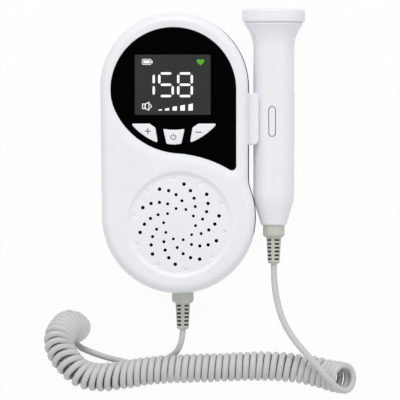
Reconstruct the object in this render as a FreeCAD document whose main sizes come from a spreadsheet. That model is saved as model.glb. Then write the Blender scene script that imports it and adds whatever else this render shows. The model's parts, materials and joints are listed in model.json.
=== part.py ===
"""Hand-held fetal heart monitor: main unit, clip-on probe and curly cord.

Millimetres. +Z comes out of the display face, +Y points to the top of the unit, and the
origin is in the middle of the flat back face, on which the unit lies.
"""
import FreeCAD, Part
import math
import os
import re
from types import SimpleNamespace
from FreeCAD import Placement, Rotation, Vector

SIZES = {
    # main unit from the front: a top circle, a larger base circle, and a straight right side
    "top_centre_y": 33.4, "top_radius": 37.8, "base_centre_y": -32.4, "base_radius": 39,
    "side_inset": 2.9, "waist_round": 15,
    # main unit from the side
    "parting_height": 12, "crown_radius": 600, "front_round": 5.4, "back_round": 5,
    "wall": 2.2, "seam_bevel": 0.25,
    # black face panel with an S-shaped foot, placed from the top circle
    "panel_shift_x": -0.9, "panel_shift_y": -1.7, "panel_border": 5.6, "panel_blend": 24,
    "shoulder_shift_x": 4.6, "shoulder_shift_y": 5.3, "shoulder_growth": 5.2,
    "foot_shift_x": -6.7, "foot_shift_y": -97.8, "panel_corner": 2,
    "panel_seat_depth": 2.6, "panel_web": 1.6, "panel_fit": 0.12, "panel_sink": 0.12,
    # display window and the display module behind it, placed from the panel's centre
    "window_shift_x": -0.2, "window_shift_y": 2.7, "window_width": 38.6,
    "window_height": 30.6, "window_fit": 0.05, "module_border": 1.7, "module_fit": 0.3,
    "display_web": 1.1, "display_rim": 1, "backlight_gap": 0.2,
    # keys, placed from the panel's centre
    "keys_shift_x": 0.4, "key_top_y": -17, "key_bevel_x": -12.4, "key_bevel_low_x": -9.4,
    "key_bevel_low_y": -19.1, "key_inner_x": -8.1, "key_margin": 2.9, "key_corner": 0.7,
    "key_proud": 0.45, "key_edge": 0.3, "key_fit": 0.22, "key_travel": 0.5,
    "key_rest_gap": 0.1, "power_top_width": 10.9, "power_base_width": 7.6,
    "power_top_y": -19.7, "power_base_y": -27.2, "power_sag": 0.5, "key_flange": 0.8,
    "key_flange_web": 0.9, "key_stem_radius": 1.6, "key_flange_gap": 0.12,
    "side_key_x": -13.9, "side_key_y": -21.4, "power_key_y": -23.5,
    # circuit board and what it carries, placed from the top circle
    "board_room": 2, "board_web": 1.6, "board_drop": 6.6, "board_margin": 6.2,
    "board_base": -37.4, "board_shoulder": 13.2, "board_tab": 18.5, "board_tab_margin": 9,
    "post_inset": 2.9, "post_low_y": -33.4, "post_high_y": 9.1, "post_radius": 2.2,
    "board_screw_radius": 1, "board_head_radius": 1.9, "board_head": 1.3,
    "board_screw_length": 5, "screw_fit": 0.05, "through_fit": 0.15,
    "switch_width": 6, "switch_body": 3, "switch_stem": 0.5, "switch_stem_radius": 1.7,
    "chip_web": 1.4, "chip_inset": 1, "processor_x": -20.3, "processor_side": 7,
    "amplifier_x": 9.7, "amplifier_side": 5,
    # headphone socket in the left wall
    "jack_y": -8.4, "jack_bore": 1.8, "jack_nose": 2.8, "jack_length": 13.5,
    "jack_depth": 12.5, "jack_thick": 6, "jack_width": 8, "jack_fit": 0.15, "jack_sink": 0.3,
    "jack_gap": 0.4,
    # loudspeaker behind a round dish with spiral arms of holes
    "speaker_x": 0.7, "speaker_shift_y": -4.1, "dish_radius": 26.8, "dish_depth": 1.6,
    "dish_wall": 2, "dish_soft": 1.2, "speaker_web": 2, "arm_count": 10, "arm_holes": 5,
    "arm_arc_x": -5.8, "arm_arc_y": 9.5, "arm_arc_radius": 13.85, "arm_start": -22.8,
    "arm_step": 19.4, "arm_last_step": 24, "hole_radius": 0.66, "hole_growth": 0.05,
    "dimple_depth": 0.3, "speaker_radius": 22.4, "gasket_width": 3, "gasket_web": 0.6,
    "speaker_height": 6.5, "speaker_pan": 14.5, "speaker_sheet": 0.8, "magnet_radius": 13.5,
    "magnet_height": 7, "magnet_bevel": 0.6, "cone_web": 0.4, "cone_gap": 1.2,
    "cone_cap": 1.8, "roll_width": 3, "roll_sag": 1, "voice_radius": 4.5, "pocket_fit": 0.6,
    # battery bay, two round cells side by side, placed from the top circle
    "bay_shift_y": -0.6, "cell_radius": 7.1, "cell_length": 50.5, "cell_nub": 1.3,
    "nub_radius": 2.7, "cell_gap": 0.7, "bay_side_room": 0.75, "bay_end_room": 2.95,
    "bay_wall": 2.4, "bay_roof": 1.6, "cell_lift": 0.25, "cell_head_room": 0.35,
    "contact_web": 0.4, "contact_width": 9, "contact_fit": 0.05, "contact_touch": 1,
    "door_web": 2, "door_sink": 0.2, "door_fit": 0.3, "door_ledge": 1.2, "door_corner": 2,
    "tab_width": 3.2, "tab_spread": 13.2, "tab_web": 1, "tab_lift": 0.1, "tab_hook": 1.1,
    "tab_reach": 2.6, "latch_width": 5, "latch_height": 3.6, "latch_web": 0.9,
    "latch_room": 0.55, "grip_count": 5, "grip_pitch": 2, "grip_width": 14,
    "grip_groove": 0.9, "grip_depth": 0.5,
    # four screws that hold the housings together, placed from the two circles
    "top_screw_x": 25.7, "top_screw_y": 17.6, "base_screw_x": 22, "base_screw_y": -21.9,
    "screw_radius": 1.45, "screw_head_radius": 2.6, "screw_head": 1.8, "screw_length": 12,
    "boss_radius": 3.2, "boss_drop": 2, "well_radius": 2.9, "well_depth": 6,
    "well_wall": 1.1,
    # strain reliefs, alike at both ends of the cord
    "relief_x": 2.3, "relief_sink": 0.8, "collar_radius": 5.5, "collar_length": 5,
    "collar_bevel": 1.1, "collar_step": 1.1, "boot_radius": 3.75, "boot_end_radius": 3,
    "boot_length": 13.4, "boot_round": 0.6, "neck_radius": 3.6, "neck_length": 2.4,
    "flange_radius": 5.1, "flange_web": 1.4, "relief_fit": 0.1, "relief_core": 1.9,
    "relief_turn": -8, "slot_count": 6, "slot_pitch": 1.95, "slot_height": 1,
    "slot_first": 0.9, "slot_from": 14, "slot_to": 64,
    # probe, turned about its own axis
    "probe_gap": 2.2, "probe_axis_height": 16.5, "probe_radius": 10.4, "probe_wall": 1.8,
    "neck_start_y": 53, "neck_round": 19, "shoulder_r": 15, "probe_seam_y": 66.5,
    "head_radius": 16, "head_length": 7, "head_round": 1.2, "head_wall": 2.2,
    "taper_start_y": -20.5, "taper_round": 22, "taper_angle": 16.5, "probe_end_y": -37.1,
    "probe_end_round": 1.4, "face_web": 2.2, "face_crown": 0.3, "crystal_web": 1,
    "crystal_radius": 11, "crystal_gap": 0.8, "crystal_room": 1.2, "backing_web": 2.4,
    "spigot_radius": 11, "spigot_wall": 1.7, "spigot_length": 4, "spigot_fit": 0.1,
    "seal_web": 0.9, "seal_groove": 1.1, "seal_inset": 1.8, "probe_fit": 0.1,
    "probe_board_length": 58, "probe_board_start": -18, "probe_board_web": 1.2,
    "probe_board_fit": 0.25, "probe_board_corner": 1,
    # clip on the right side of the unit that holds the probe's handle
    "holder_top": 30.4, "holder_length": 26.6, "holder_fit": 0.3, "holder_web": 2.2,
    "jaw_reach": 7.75, "jaw_root": 9.3, "jaw_crest": 10.6, "jaw_crest_x": 10.2,
    "jaw_lip": 1.8, "jaw_corner": 4, "back_jaw_angle": -36, "back_root_angle": 215,
    "back_root": 7.5, "tongue_rise": 5.5, "tongue_drop": 8, "tongue_inset": 2.6,
    "trap_web": 1.9, "trap_border": 1.5, "trap_fit": 0.1,
    # cord
    "cord_diameter": 3, "coil_diameter": 13.7,
}

# Heights and places that follow from the sizes, each from those above it
FORMULAS = {
    "side_x": "base_radius - side_inset",
    "left_x": "side_x - 2 * top_radius",
    "top_centre_x": "side_x - top_radius",
    "panel_x": "top_centre_x + panel_shift_x",
    "panel_y": "top_centre_y + panel_shift_y",
    "panel_radius": "top_radius - panel_border",
    "shoulder_x": "panel_x + shoulder_shift_x",
    "shoulder_y": "panel_y + shoulder_shift_y",
    "shoulder_radius": "panel_radius + shoulder_growth",
    "foot_x": "shoulder_x + foot_shift_x",
    "foot_y": "shoulder_y + foot_shift_y",
    "window_x": "panel_x + window_shift_x",
    "window_y": "panel_y + window_shift_y",
    "keys_x": "panel_x + keys_shift_x",
    "speaker_y": "base_centre_y + speaker_shift_y",
    "door_top": "door_sink + door_web",
    "bay_ceiling": "door_top + cell_lift + 2 * cell_radius + cell_head_room",
    "board_under": "bay_ceiling + bay_roof + board_room",
    "board_face": "board_under + board_web",
    "ceiling": "board_face + board_drop",
    "seat_height": "ceiling + panel_web",
    "unit_depth": "seat_height + panel_seat_depth",
    "dish_floor": "unit_depth - dish_depth",
    "speaker_seat": "dish_floor - speaker_web",
    "boss_meet": "parting_height - boss_drop",
    "jack_face": "left_x + jack_sink",
    "jack_back": "left_x + wall + jack_gap",
    "jack_place_y": "top_centre_y + jack_y",
    "jack_height": "board_under - jack_thick / 2",
    "flange_top": "ceiling - key_flange_gap",
    "stem_base": "board_face + switch_body + switch_stem + key_travel + key_rest_gap",
    "hook_base": "door_top + door_fit + tab_lift",
    "bay_width": "4 * cell_radius + cell_gap + 2 * bay_side_room",
    "bay_length": "cell_length + 2 * bay_end_room",
    "bay_y": "top_centre_y + bay_shift_y",
    "door_width": "bay_width + 2 * door_ledge",
    "door_length": "bay_length + 2 * door_ledge",
    "bay_end": "bay_y + door_length / 2",
    "relief_seat": "base_centre_y - base_radius + relief_sink",
    "probe_x": "side_x + probe_radius + probe_gap",
    "tongue_top": "probe_axis_height + tongue_rise",
    "tongue_base": "probe_axis_height - tongue_drop",
}


def link(formula):
    """A formula of named sizes, with each name pointed at its cell or derived value."""
    def owner(name):
        return ("Sizes." if name.group(0) in SIZES else "Derived.") + name.group(0)
    return re.sub(r"[a-z]\w+", owner, formula)


doc = FreeCAD.newDocument("heart_monitor")
sheet = doc.addObject("Spreadsheet::Sheet", "Sizes")
for row, (alias, value) in enumerate(SIZES.items(), start=1):
    sheet.set("A%d" % row, alias)
    sheet.set("B%d" % row, str(value))
    sheet.setAlias("B%d" % row, alias)
doc.recompute()
derived = doc.addObject("App::VarSet", "Derived")
for name, formula in FORMULAS.items():
    derived.addProperty("App::PropertyFloat", name)
    derived.setExpression(name, link(formula))
doc.recompute()
s = SimpleNamespace(**{alias: float(sheet.get(alias)) for alias in SIZES},
                    **{name: getattr(derived, name) for name in FORMULAS})

UP = Vector(0, 0, 1)
ALONG = Vector(0, 1, 0)
NODES = []


# ---------------------------------------------------------------- drawing helpers

def point(x, y):
    return Vector(x, y, 0)


def line(a, b):
    return Part.LineSegment(point(*a), point(*b))


def polygon(*corners):
    return [line(a, b) for a, b in zip(corners, corners[1:] + corners[:1])]


def arc(centre, radius, start, end):
    """An arc that turns anticlockwise from one angle to the other, in radians."""
    return Part.ArcOfCircle(Part.Circle(point(*centre), UP, radius), start, end)


def bend(a, middle, b):
    return Part.Arc(point(*a), point(*middle), point(*b))


def dome(edge, foot, height):
    """An arc from a rim to the vertical axis, about a centre on the axis: a shallow cap."""
    radius = (edge ** 2 + height ** 2) / (2 * abs(height))
    centre = foot + height - math.copysign(radius, height)
    ends = (math.atan2(foot - centre, edge), math.copysign(math.pi / 2, height))
    return arc((0, centre), radius, *sorted(ends))


def circle(x, y, radius):
    return [Part.Circle(point(x, y), UP, radius)]


def box(x, y, width, length, corner=0):
    """A rectangle about its centre, with round corners where a radius is given."""
    w, d = width / 2, length / 2
    if not corner:
        return polygon((x - w, y - d), (x + w, y - d), (x + w, y + d), (x - w, y + d))
    w, d = w - corner, d - corner
    quarter = math.pi / 2
    ends = [(x + w, y + d), (x - w, y + d), (x - w, y - d), (x + w, y - d)]
    corners = [arc(end, corner, turn * quarter, (turn + 1) * quarter)
               for turn, end in enumerate(ends)]
    sides = [Part.LineSegment(a.EndPoint, b.StartPoint)
             for a, b in zip(corners, corners[1:] + corners[:1])]
    return corners + sides


def heading(a, b):
    return math.atan2(b[1] - a[1], b[0] - a[0])


def polar(centre, radius, angle):
    return (centre[0] + radius * math.cos(angle), centre[1] + radius * math.sin(angle))


def crossing(a, reach_a, b, reach_b, side):
    """The point at given distances from a and b, left (+1) or right (-1) of the way a to b."""
    span = math.dist(a, b)
    along = (reach_a ** 2 - reach_b ** 2 + span ** 2) / (2 * span)
    off = math.acos(along / reach_a)
    return polar(a, reach_a, heading(a, b) + side * off)


def loop(curves):
    return Part.Wire(Part.__sortEdges__([curve.toShape() for curve in curves]))


def traced(wire):
    """The edges of a wire of lines and arcs as sketch geometry."""
    curves = []
    for edge in wire.Edges:
        first, last = edge.ParameterRange
        a, middle, b = (edge.valueAt(t) for t in (first, (first + last) / 2, last))
        straight = isinstance(edge.Curve, Part.Line)
        curves.append(Part.LineSegment(a, b) if straight else Part.Arc(a, middle, b))
    return curves


def widened(curves, distance):
    """The same outline a given distance further out, or further in where it is negative."""
    return traced(loop(curves).makeOffset2D(distance))


# ---------------------------------------------------------------- feature helpers

def new_body(node):
    body = doc.addObject("PartDesign::Body", node)
    body.Label = node
    NODES.append(body)
    return body


def sketch(body, name, role, shapes, lift="0", shift=("0", "0")):
    """A sketch on a plane of the body's origin, moved by formulas of sizes."""
    plane = next(item for item in body.Origin.OriginFeatures if item.Role == role)
    profile = body.newObject("Sketcher::SketchObject", name)
    profile.AttachmentSupport = [(plane, "")]
    profile.MapMode = "FlatFace"
    for axis, formula in zip("xyz", (*shift, lift)):
        profile.setExpression("AttachmentOffset.Base." + axis, link(formula))
    profile.addGeometry([curve for shape in shapes for curve in shape], False)
    return profile


def grow(profile, length, reverse=False):
    """A pad of the sketch along its normal, or against it."""
    body = profile.getParentGeoFeatureGroup()
    pad = body.newObject("PartDesign::Pad", profile.Name + "Pad")
    pad.Profile = profile
    pad.setExpression("Length", link(length))
    pad.Reversed = reverse
    doc.recompute()
    return pad


def cut(profile, length=None, along=False, both=False):
    """A pocket of the sketch, against its normal or along it, or right through both ways."""
    body = profile.getParentGeoFeatureGroup()
    before = body.Shape.Volume
    pocket = body.newObject("PartDesign::Pocket", profile.Name + "Cut")
    pocket.Profile = profile
    pocket.Type = 0 if length else 1
    if length:
        pocket.setExpression("Length", link(length))
    pocket.Reversed = along
    pocket.Midplane = both
    doc.recompute()
    if not body.Shape.Volume < before:
        raise RuntimeError(profile.Name + " cuts nothing")
    return pocket


def spin(kind, profile, angle=360, reverse=False):
    """A Revolution or a Groove of the sketch about its own vertical axis."""
    body = profile.getParentGeoFeatureGroup()
    turned = body.newObject("PartDesign::" + kind, profile.Name + kind)
    turned.Profile = profile
    turned.ReferenceAxis = (profile, ["V_Axis"])
    turned.Angle = angle
    turned.Reversed = reverse
    doc.recompute()
    return turned


def names_of(feature, edges):
    """The names that a feature's own edges go by."""
    return ["Edge%d" % (number + 1) for number, edge in enumerate(feature.Shape.Edges)
            if any(edge.isSame(wanted) for wanted in edges)]


def dress(kind, feature, edges, prop, formula):
    """A Fillet or a Chamfer on some edges of the feature."""
    body = feature.getParentGeoFeatureGroup()
    dressed = body.newObject("PartDesign::" + kind, feature.Name + kind)
    dressed.Base = (feature, names_of(feature, edges))
    dressed.setExpression(prop, link(formula))
    doc.recompute()
    return dressed


def flat_face(feature, height):
    """The largest level face of the feature at a height."""
    level = [face for face in feature.Shape.Faces
             if face.BoundBox.ZLength < 1e-6 and abs(face.BoundBox.ZMin - height) < 1e-6]
    return max(level, key=lambda face: face.Area)


def upright_edges(feature):
    return [edge for edge in feature.Shape.Edges
            if edge.BoundBox.XLength < 1e-6 and edge.BoundBox.YLength < 1e-6]


def patterned(kind, feature, **values):
    """A LinearPattern or PolarPattern that becomes the body's tip."""
    body = feature.getParentGeoFeatureGroup()
    repeated = body.newObject("PartDesign::" + kind, feature.Name + kind)
    repeated.Originals = [feature]
    for prop, value in values.items():
        setattr(repeated, prop, value)
    body.Tip = repeated
    doc.recompute()
    return repeated


def primitive(kind, name, base, axis=UP, **values):
    """A Part primitive at a place, with sizes that are formulas."""
    solid = doc.addObject("Part::" + kind, name)
    for prop, formula in values.items():
        solid.setExpression(prop, link(formula))
    solid.Placement = Placement(Vector(*base), Rotation(UP, axis))
    return solid


def group(node, solids):
    """One node of several separate solids that are alike."""
    compound = doc.addObject("Part::Compound", node)
    compound.Label = node
    compound.Links = solids
    NODES.append(compound)


def shaped(node, shape):
    """A sub-part whose shape is made by Part's own functions."""
    feature = doc.addObject("Part::Feature", node)
    feature.Label = node
    feature.Shape = shape
    NODES.append(feature)
    return feature


# ---------------------------------------------------------------- outlines

def unit_outline(grown=0):
    """The unit from the front: top arc, left side, base arc, and a hollow up to the right side."""
    top, base = (s.top_centre_x, s.top_centre_y), (0, s.base_centre_y)
    top_r, base_r, hollow_r = s.top_radius + grown, s.base_radius + grown, s.waist_round - grown
    lean = math.acos((s.top_radius - s.base_radius) / math.dist(top, base))
    left = heading(top, base) - lean
    side = s.side_x + grown
    hollow_x = s.side_x + s.waist_round
    rise = math.sqrt((s.base_radius + s.waist_round) ** 2 - hollow_x ** 2)
    hollow = (hollow_x, s.base_centre_y + rise)
    return [
        arc(top, top_r, 0, left % math.tau),
        line(polar(top, top_r, left), polar(base, base_r, left)),
        arc(base, base_r, left % math.tau, heading(base, hollow) + math.tau),
        arc(hollow, hollow_r, math.pi, heading(hollow, base) % math.tau),
        line((side, hollow[1]), (side, s.top_centre_y)),
    ]


def panel_outline(grown=0):
    """The face panel: a top circle, a blend into a flatter shoulder, and an S-shaped foot."""
    top, shoulder, foot = ((s.panel_x, s.panel_y), (s.shoulder_x, s.shoulder_y),
                           (s.foot_x, s.foot_y))
    foot_r = math.dist(shoulder, foot) - s.shoulder_radius
    blend = crossing(top, s.panel_radius - s.panel_blend,
                     shoulder, s.shoulder_radius - s.panel_blend, 1)
    side = s.panel_x + s.panel_radius
    corner_x = side - s.panel_corner
    rise = math.sqrt((foot_r + s.panel_corner) ** 2 - (corner_x - s.foot_x) ** 2)
    corner = (corner_x, s.foot_y + rise)
    into_blend, out_of_blend = heading(top, blend), heading(shoulder, blend)
    turn = math.tau
    return [
        arc(top, s.panel_radius + grown, 0, into_blend % turn),
        arc(blend, s.panel_blend + grown, into_blend % turn, out_of_blend % turn),
        arc(shoulder, s.shoulder_radius + grown, out_of_blend % turn,
            heading(shoulder, foot) % turn),
        arc(foot, foot_r - grown, heading(foot, corner), heading(foot, shoulder)),
        arc(corner, s.panel_corner + grown, heading(corner, foot), 0),
        line((side + grown, corner[1]), (side + grown, s.panel_y)),
    ]


def side_key_outline(mirror):
    """The plus key, whose foot runs beside the panel's edge; mirrored, it is the minus key."""
    top = s.panel_y + s.key_top_y
    corner = (s.keys_x + s.key_bevel_x, top)
    bevel = (s.keys_x + s.key_bevel_low_x, s.panel_y + s.key_bevel_low_y)
    inner = s.keys_x + s.key_inner_x
    centre, radius = (s.shoulder_x, s.shoulder_y), s.shoulder_radius - s.key_margin
    tip = (s.shoulder_x - math.sqrt(radius ** 2 - (top - s.shoulder_y) ** 2), top)
    low = (inner, s.shoulder_y - math.sqrt(radius ** 2 - (inner - s.shoulder_x) ** 2))
    middle = polar(centre, radius, (heading(centre, tip) + heading(centre, low)) / 2)
    places = [tip, corner, bevel, low, middle]
    if mirror:
        places = [(2 * s.keys_x - x, y) for x, y in places]
    tip, corner, bevel, low, middle = places
    return [line(tip, corner), line(corner, bevel), line(bevel, low), bend(low, middle, tip)]


def power_key_outline():
    """The middle key: wider at its hollow top than at its round base."""
    x, top, base = s.keys_x, s.panel_y + s.power_top_y, s.panel_y + s.power_base_y
    wide, narrow = s.power_top_width / 2, s.power_base_width / 2
    return [
        bend((x - wide, top), (x, top - s.power_sag), (x + wide, top)),
        line((x + wide, top), (x + narrow, base)),
        bend((x + narrow, base), (x, base - s.power_sag), (x - narrow, base)),
        line((x - narrow, base), (x - wide, top)),
    ]


SIDE_KEY_Y = s.panel_y + s.side_key_y
KEYS = {
    "plus_key": (side_key_outline(False), (s.keys_x + s.side_key_x, SIDE_KEY_Y)),
    "power_key": (power_key_outline(), (s.keys_x, s.panel_y + s.power_key_y)),
    "minus_key": (side_key_outline(True), (s.keys_x - s.side_key_x, SIDE_KEY_Y)),
}
SCREWS = [(s.top_centre_x - s.top_screw_x, s.top_centre_y + s.top_screw_y),
          (s.top_centre_x + s.top_screw_x, s.top_centre_y + s.top_screw_y),
          (-s.base_screw_x, s.base_centre_y + s.base_screw_y),
          (s.base_screw_x, s.base_centre_y + s.base_screw_y)]
BOARD_HALF = s.top_radius - s.wall - s.board_margin
POSTS = [(s.top_centre_x + side * (BOARD_HALF - s.post_inset), s.top_centre_y + y)
         for side in (-1, 1) for y in (s.post_low_y, s.post_high_y)]


def crown_profile(rise=0):
    """What lies above the gently crowned front, raised or lowered by a distance."""
    half = 2 * s.top_radius
    centre = s.unit_depth + rise - s.crown_radius
    edge = centre + math.sqrt(s.crown_radius ** 2 - half ** 2)
    above = s.unit_depth + s.wall + s.key_proud
    return [bend((-half, edge), (0, s.unit_depth + rise), (half, edge)),
            line((half, edge), (half, above)), line((half, above), (-half, above)),
            line((-half, above), (-half, edge))]


def crown_cut(body, rise=0):
    return cut(sketch(body, body.Name + "Crown", "XZ_Plane", [crown_profile(rise)]), both=True)


def outer_rim(feature, height):
    return flat_face(feature, height).OuterWire.Edges


# ---------------------------------------------------------------- housings

def front_housing():
    """Moulded front: crowned face, panel recess, key and display openings, speaker dish."""
    body = new_body("front_housing")
    block = grow(sketch(body, "FrontOutline", "XY_Plane", [unit_outline()], "parting_height"),
                 "unit_depth + wall - parting_height")
    crowned = crown_cut(body)
    crown = max((face for face in crowned.Shape.Faces if isinstance(face.Surface, Part.Cylinder)
                 and face.Surface.Radius > s.crown_radius / 2), key=lambda face: face.Area)
    rounded = dress("Fillet", crowned, crown.OuterWire.Edges, "Radius", "front_round")
    dress("Chamfer", rounded, outer_rim(rounded, s.parting_height), "Size", "seam_bevel")
    cut(sketch(body, "FrontCavity", "XY_Plane", [unit_outline(-s.wall)], "parting_height"),
        "ceiling - parting_height", along=True)
    cut(sketch(body, "PanelRecess", "XY_Plane", [panel_outline(s.panel_fit)], "seat_height"),
        along=True)
    module = box(s.window_x, s.window_y, s.window_width + 2 * s.module_border + 2 * s.module_fit,
                 s.window_height + 2 * s.module_border + 2 * s.module_fit)
    openings = [module] + [widened(outline, s.key_fit) for outline, _ in KEYS.values()]
    cut(sketch(body, "FaceOpenings", "XY_Plane", openings, "seat_height"), "panel_web + 1")
    speaker_dish(body)
    front_posts(body)
    seam_openings(body, "Front", above=True)


def speaker_dish(body):
    """A shallow round dish, ten curved arms of holes through it, and a seat behind it."""
    flat, above = s.dish_radius - s.dish_wall, s.unit_depth + 1
    dish = polygon((0, s.dish_floor), (flat, s.dish_floor), (s.dish_radius, s.unit_depth),
                   (s.dish_radius, above), (0, above))
    groove = spin("Groove", sketch(body, "Dish", "XZ_Plane", [dish], "-speaker_y",
                                   ("speaker_x", "0")))
    rims = [edge for edge in groove.Shape.Edges if dish_rim(edge, flat)]
    dress("Fillet", groove, rims, "Radius", "dish_soft")
    centred = ("speaker_x", "speaker_y")
    cut(sketch(body, "SpeakerSeat", "XY_Plane", [circle(0, 0, s.speaker_radius + s.pocket_fit)],
               "parting_height", centred), "speaker_seat - parting_height", along=True)
    places = arm_places()
    holes = sketch(body, "GrilleArm", "XY_Plane", places[:-1], "unit_depth", centred)
    repeat_round(cut(holes, "dish_depth + speaker_web + 1"), holes)
    pits = sketch(body, "GrillePit", "XY_Plane", places[-1:], "unit_depth", centred)
    repeat_round(cut(pits, "dish_depth + dimple_depth"), pits)


def arm_places():
    """The circles of one spiral arm from the middle out, the last of them a blind pit."""
    places = []
    turn = math.radians(s.arm_start)
    centre = (s.arm_arc_x, s.arm_arc_y)
    for number in range(int(s.arm_holes) + 1):
        radius = s.hole_radius + s.hole_growth * number
        step = s.arm_step if number + 1 < int(s.arm_holes) else s.arm_last_step
        places.append(circle(*polar(centre, s.arm_arc_radius, turn), radius))
        turn += math.radians(step)
    return places


def dish_rim(edge, flat):
    """Whether an edge is the rim of the dish, or the foot of its wall."""
    size = edge.BoundBox
    centred = abs(size.Center.x - s.speaker_x) < 0.5 and abs(size.Center.y - s.speaker_y) < 0.5
    return centred and size.YLength > 2 * flat - 0.1 and size.ZMin > s.seat_height


def repeat_round(pocket, profile):
    patterned("PolarPattern", pocket, Axis=(profile, ["N_Axis"]), Angle=360,
              Occurrences=int(s.arm_count))


def front_posts(body):
    """Bosses for the housing screws and posts for the board, with pilot holes."""
    bosses = sketch(body, "Bosses", "XY_Plane",
                    [circle(x, y, s.boss_radius) for x, y in SCREWS], "boss_meet")
    grow(bosses, "ceiling - boss_meet + 0.5")
    pilots = sketch(body, "Pilots", "XY_Plane",
                    [circle(x, y, s.screw_radius + s.screw_fit) for x, y in SCREWS], "boss_meet")
    cut(pilots, "screw_length", along=True)
    posts = sketch(body, "BoardPosts", "XY_Plane",
                   [circle(x, y, s.post_radius) for x, y in POSTS], "board_face")
    grow(posts, "board_drop + 0.5")
    taps = sketch(body, "BoardPilots", "XY_Plane",
                  [circle(x, y, s.board_screw_radius + s.screw_fit) for x, y in POSTS],
                  "board_face")
    cut(taps, "board_screw_length", along=True)
    nose = circle(s.jack_place_y, s.jack_height, s.jack_nose + s.jack_fit)
    cut(sketch(body, "JackHole", "YZ_Plane", [nose], "top_centre_x"))


def seam_openings(body, prefix, above):
    """Half of the relief's hole and of the holder's slot, which both housings share."""
    half = 1 if above else -1
    height = s.parting_height
    relief = circle(s.relief_x, height, s.neck_radius + s.relief_fit)
    cut(sketch(body, prefix + "ReliefHole", "XZ_Plane", [relief], "-base_centre_y"), along=True)
    seat = circle(s.relief_x, height, s.collar_radius + s.relief_fit)
    cut(sketch(body, prefix + "ReliefSeat", "XZ_Plane", [seat], "-relief_seat"), along=True)
    edge = s.tongue_top if above else s.tongue_base
    reach = abs(edge - height) + s.trap_fit
    slot = box(s.holder_top - s.holder_length / 2, height + half * reach / 2,
               s.holder_length - 2 * s.tongue_inset + 2 * s.trap_fit, reach)
    cut(sketch(body, prefix + "HolderSlot", "YZ_Plane", [slot], "side_x - 2 * wall"), along=True)


def rear_housing():
    """Moulded back: rounded tray with the battery bay, screw wells and seam openings."""
    body = new_body("rear_housing")
    block = grow(sketch(body, "RearOutline", "XY_Plane", [unit_outline()]), "parting_height")
    rounded = dress("Fillet", block, outer_rim(block, 0), "Radius", "back_round")
    dress("Chamfer", rounded, outer_rim(rounded, s.parting_height), "Size", "seam_bevel")
    cut(sketch(body, "RearCavity", "XY_Plane", [unit_outline(-s.wall)], "parting_height"),
        "parting_height - wall")
    x, y = s.top_centre_x, s.bay_y
    walls = box(x, y, s.bay_width + 2 * s.bay_wall, s.bay_length + 2 * s.bay_wall)
    grow(sketch(body, "BayWalls", "XY_Plane", [walls]), "bay_ceiling + bay_roof")
    door = box(x, y, s.door_width + 2 * s.door_fit, s.door_length + 2 * s.door_fit,
               s.door_corner + s.door_fit)
    cut(sketch(body, "DoorOpening", "XY_Plane", [door]), "door_top + door_fit", along=True)
    cut(sketch(body, "Bay", "XY_Plane", [box(x, y, s.bay_width, s.bay_length)]),
        "bay_ceiling", along=True)
    hooks = [box(x + side * s.tab_spread, s.bay_end - s.tab_reach / 2 + s.tab_hook,
                 s.tab_width + 2 * s.door_fit, s.tab_reach + 2 * s.tab_hook) for side in (-1, 1)]
    cut(sketch(body, "HookSlots", "XY_Plane", hooks, "door_top + door_fit"),
        "tab_lift + tab_web + 3 * door_fit", along=True)
    finger = box(x, y - s.door_length / 2 - s.door_fit, s.grip_width, 2 * s.grip_pitch,
                 0.45 * s.grip_pitch)
    cut(sketch(body, "FingerNotch", "XY_Plane", [finger]), "grip_depth + door_sink", along=True)
    wells = [circle(x, y, s.well_radius + s.well_wall) for x, y in SCREWS]
    grow(sketch(body, "Wells", "XY_Plane", wells, "wall / 2"), "boss_meet - wall / 2")
    cut(sketch(body, "WellHoles", "XY_Plane",
               [circle(x, y, s.screw_radius + s.through_fit) for x, y in SCREWS]), along=True)
    cut(sketch(body, "WellSeats", "XY_Plane", [circle(x, y, s.well_radius) for x, y in SCREWS]),
        "well_depth", along=True)
    seam_openings(body, "Rear", above=False)


def housing_screws():
    """Four pan-head screws in the back, from their wells into the front's bosses."""
    solids = []
    for number, (x, y) in enumerate(SCREWS, start=1):
        head = primitive("Cylinder", "ScrewHead%d" % number,
                         (x, y, s.well_depth - s.screw_head), Radius="screw_head_radius",
                         Height="screw_head")
        shank = primitive("Cylinder", "ScrewShank%d" % number, (x, y, s.well_depth),
                          Radius="screw_radius", Height="screw_length")
        screw = doc.addObject("Part::MultiFuse", "Screw%d" % number)
        screw.Shapes = [head, shank]
        solids.append(screw)
    group("housing_screws", solids)


# ---------------------------------------------------------------- display face

def face_panel():
    """Glossy black plate in the recess, open for the display window and the three keys."""
    body = new_body("face_panel")
    grow(sketch(body, "PanelOutline", "XY_Plane", [panel_outline()], "seat_height"),
         "panel_seat_depth + wall")
    crown_cut(body, -s.panel_sink)
    window = box(s.window_x, s.window_y, s.window_width, s.window_height)
    openings = [window] + [widened(outline, s.key_fit) for outline, _ in KEYS.values()]
    cut(sketch(body, "PanelOpenings", "XY_Plane", openings, "seat_height"), along=True)


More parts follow.
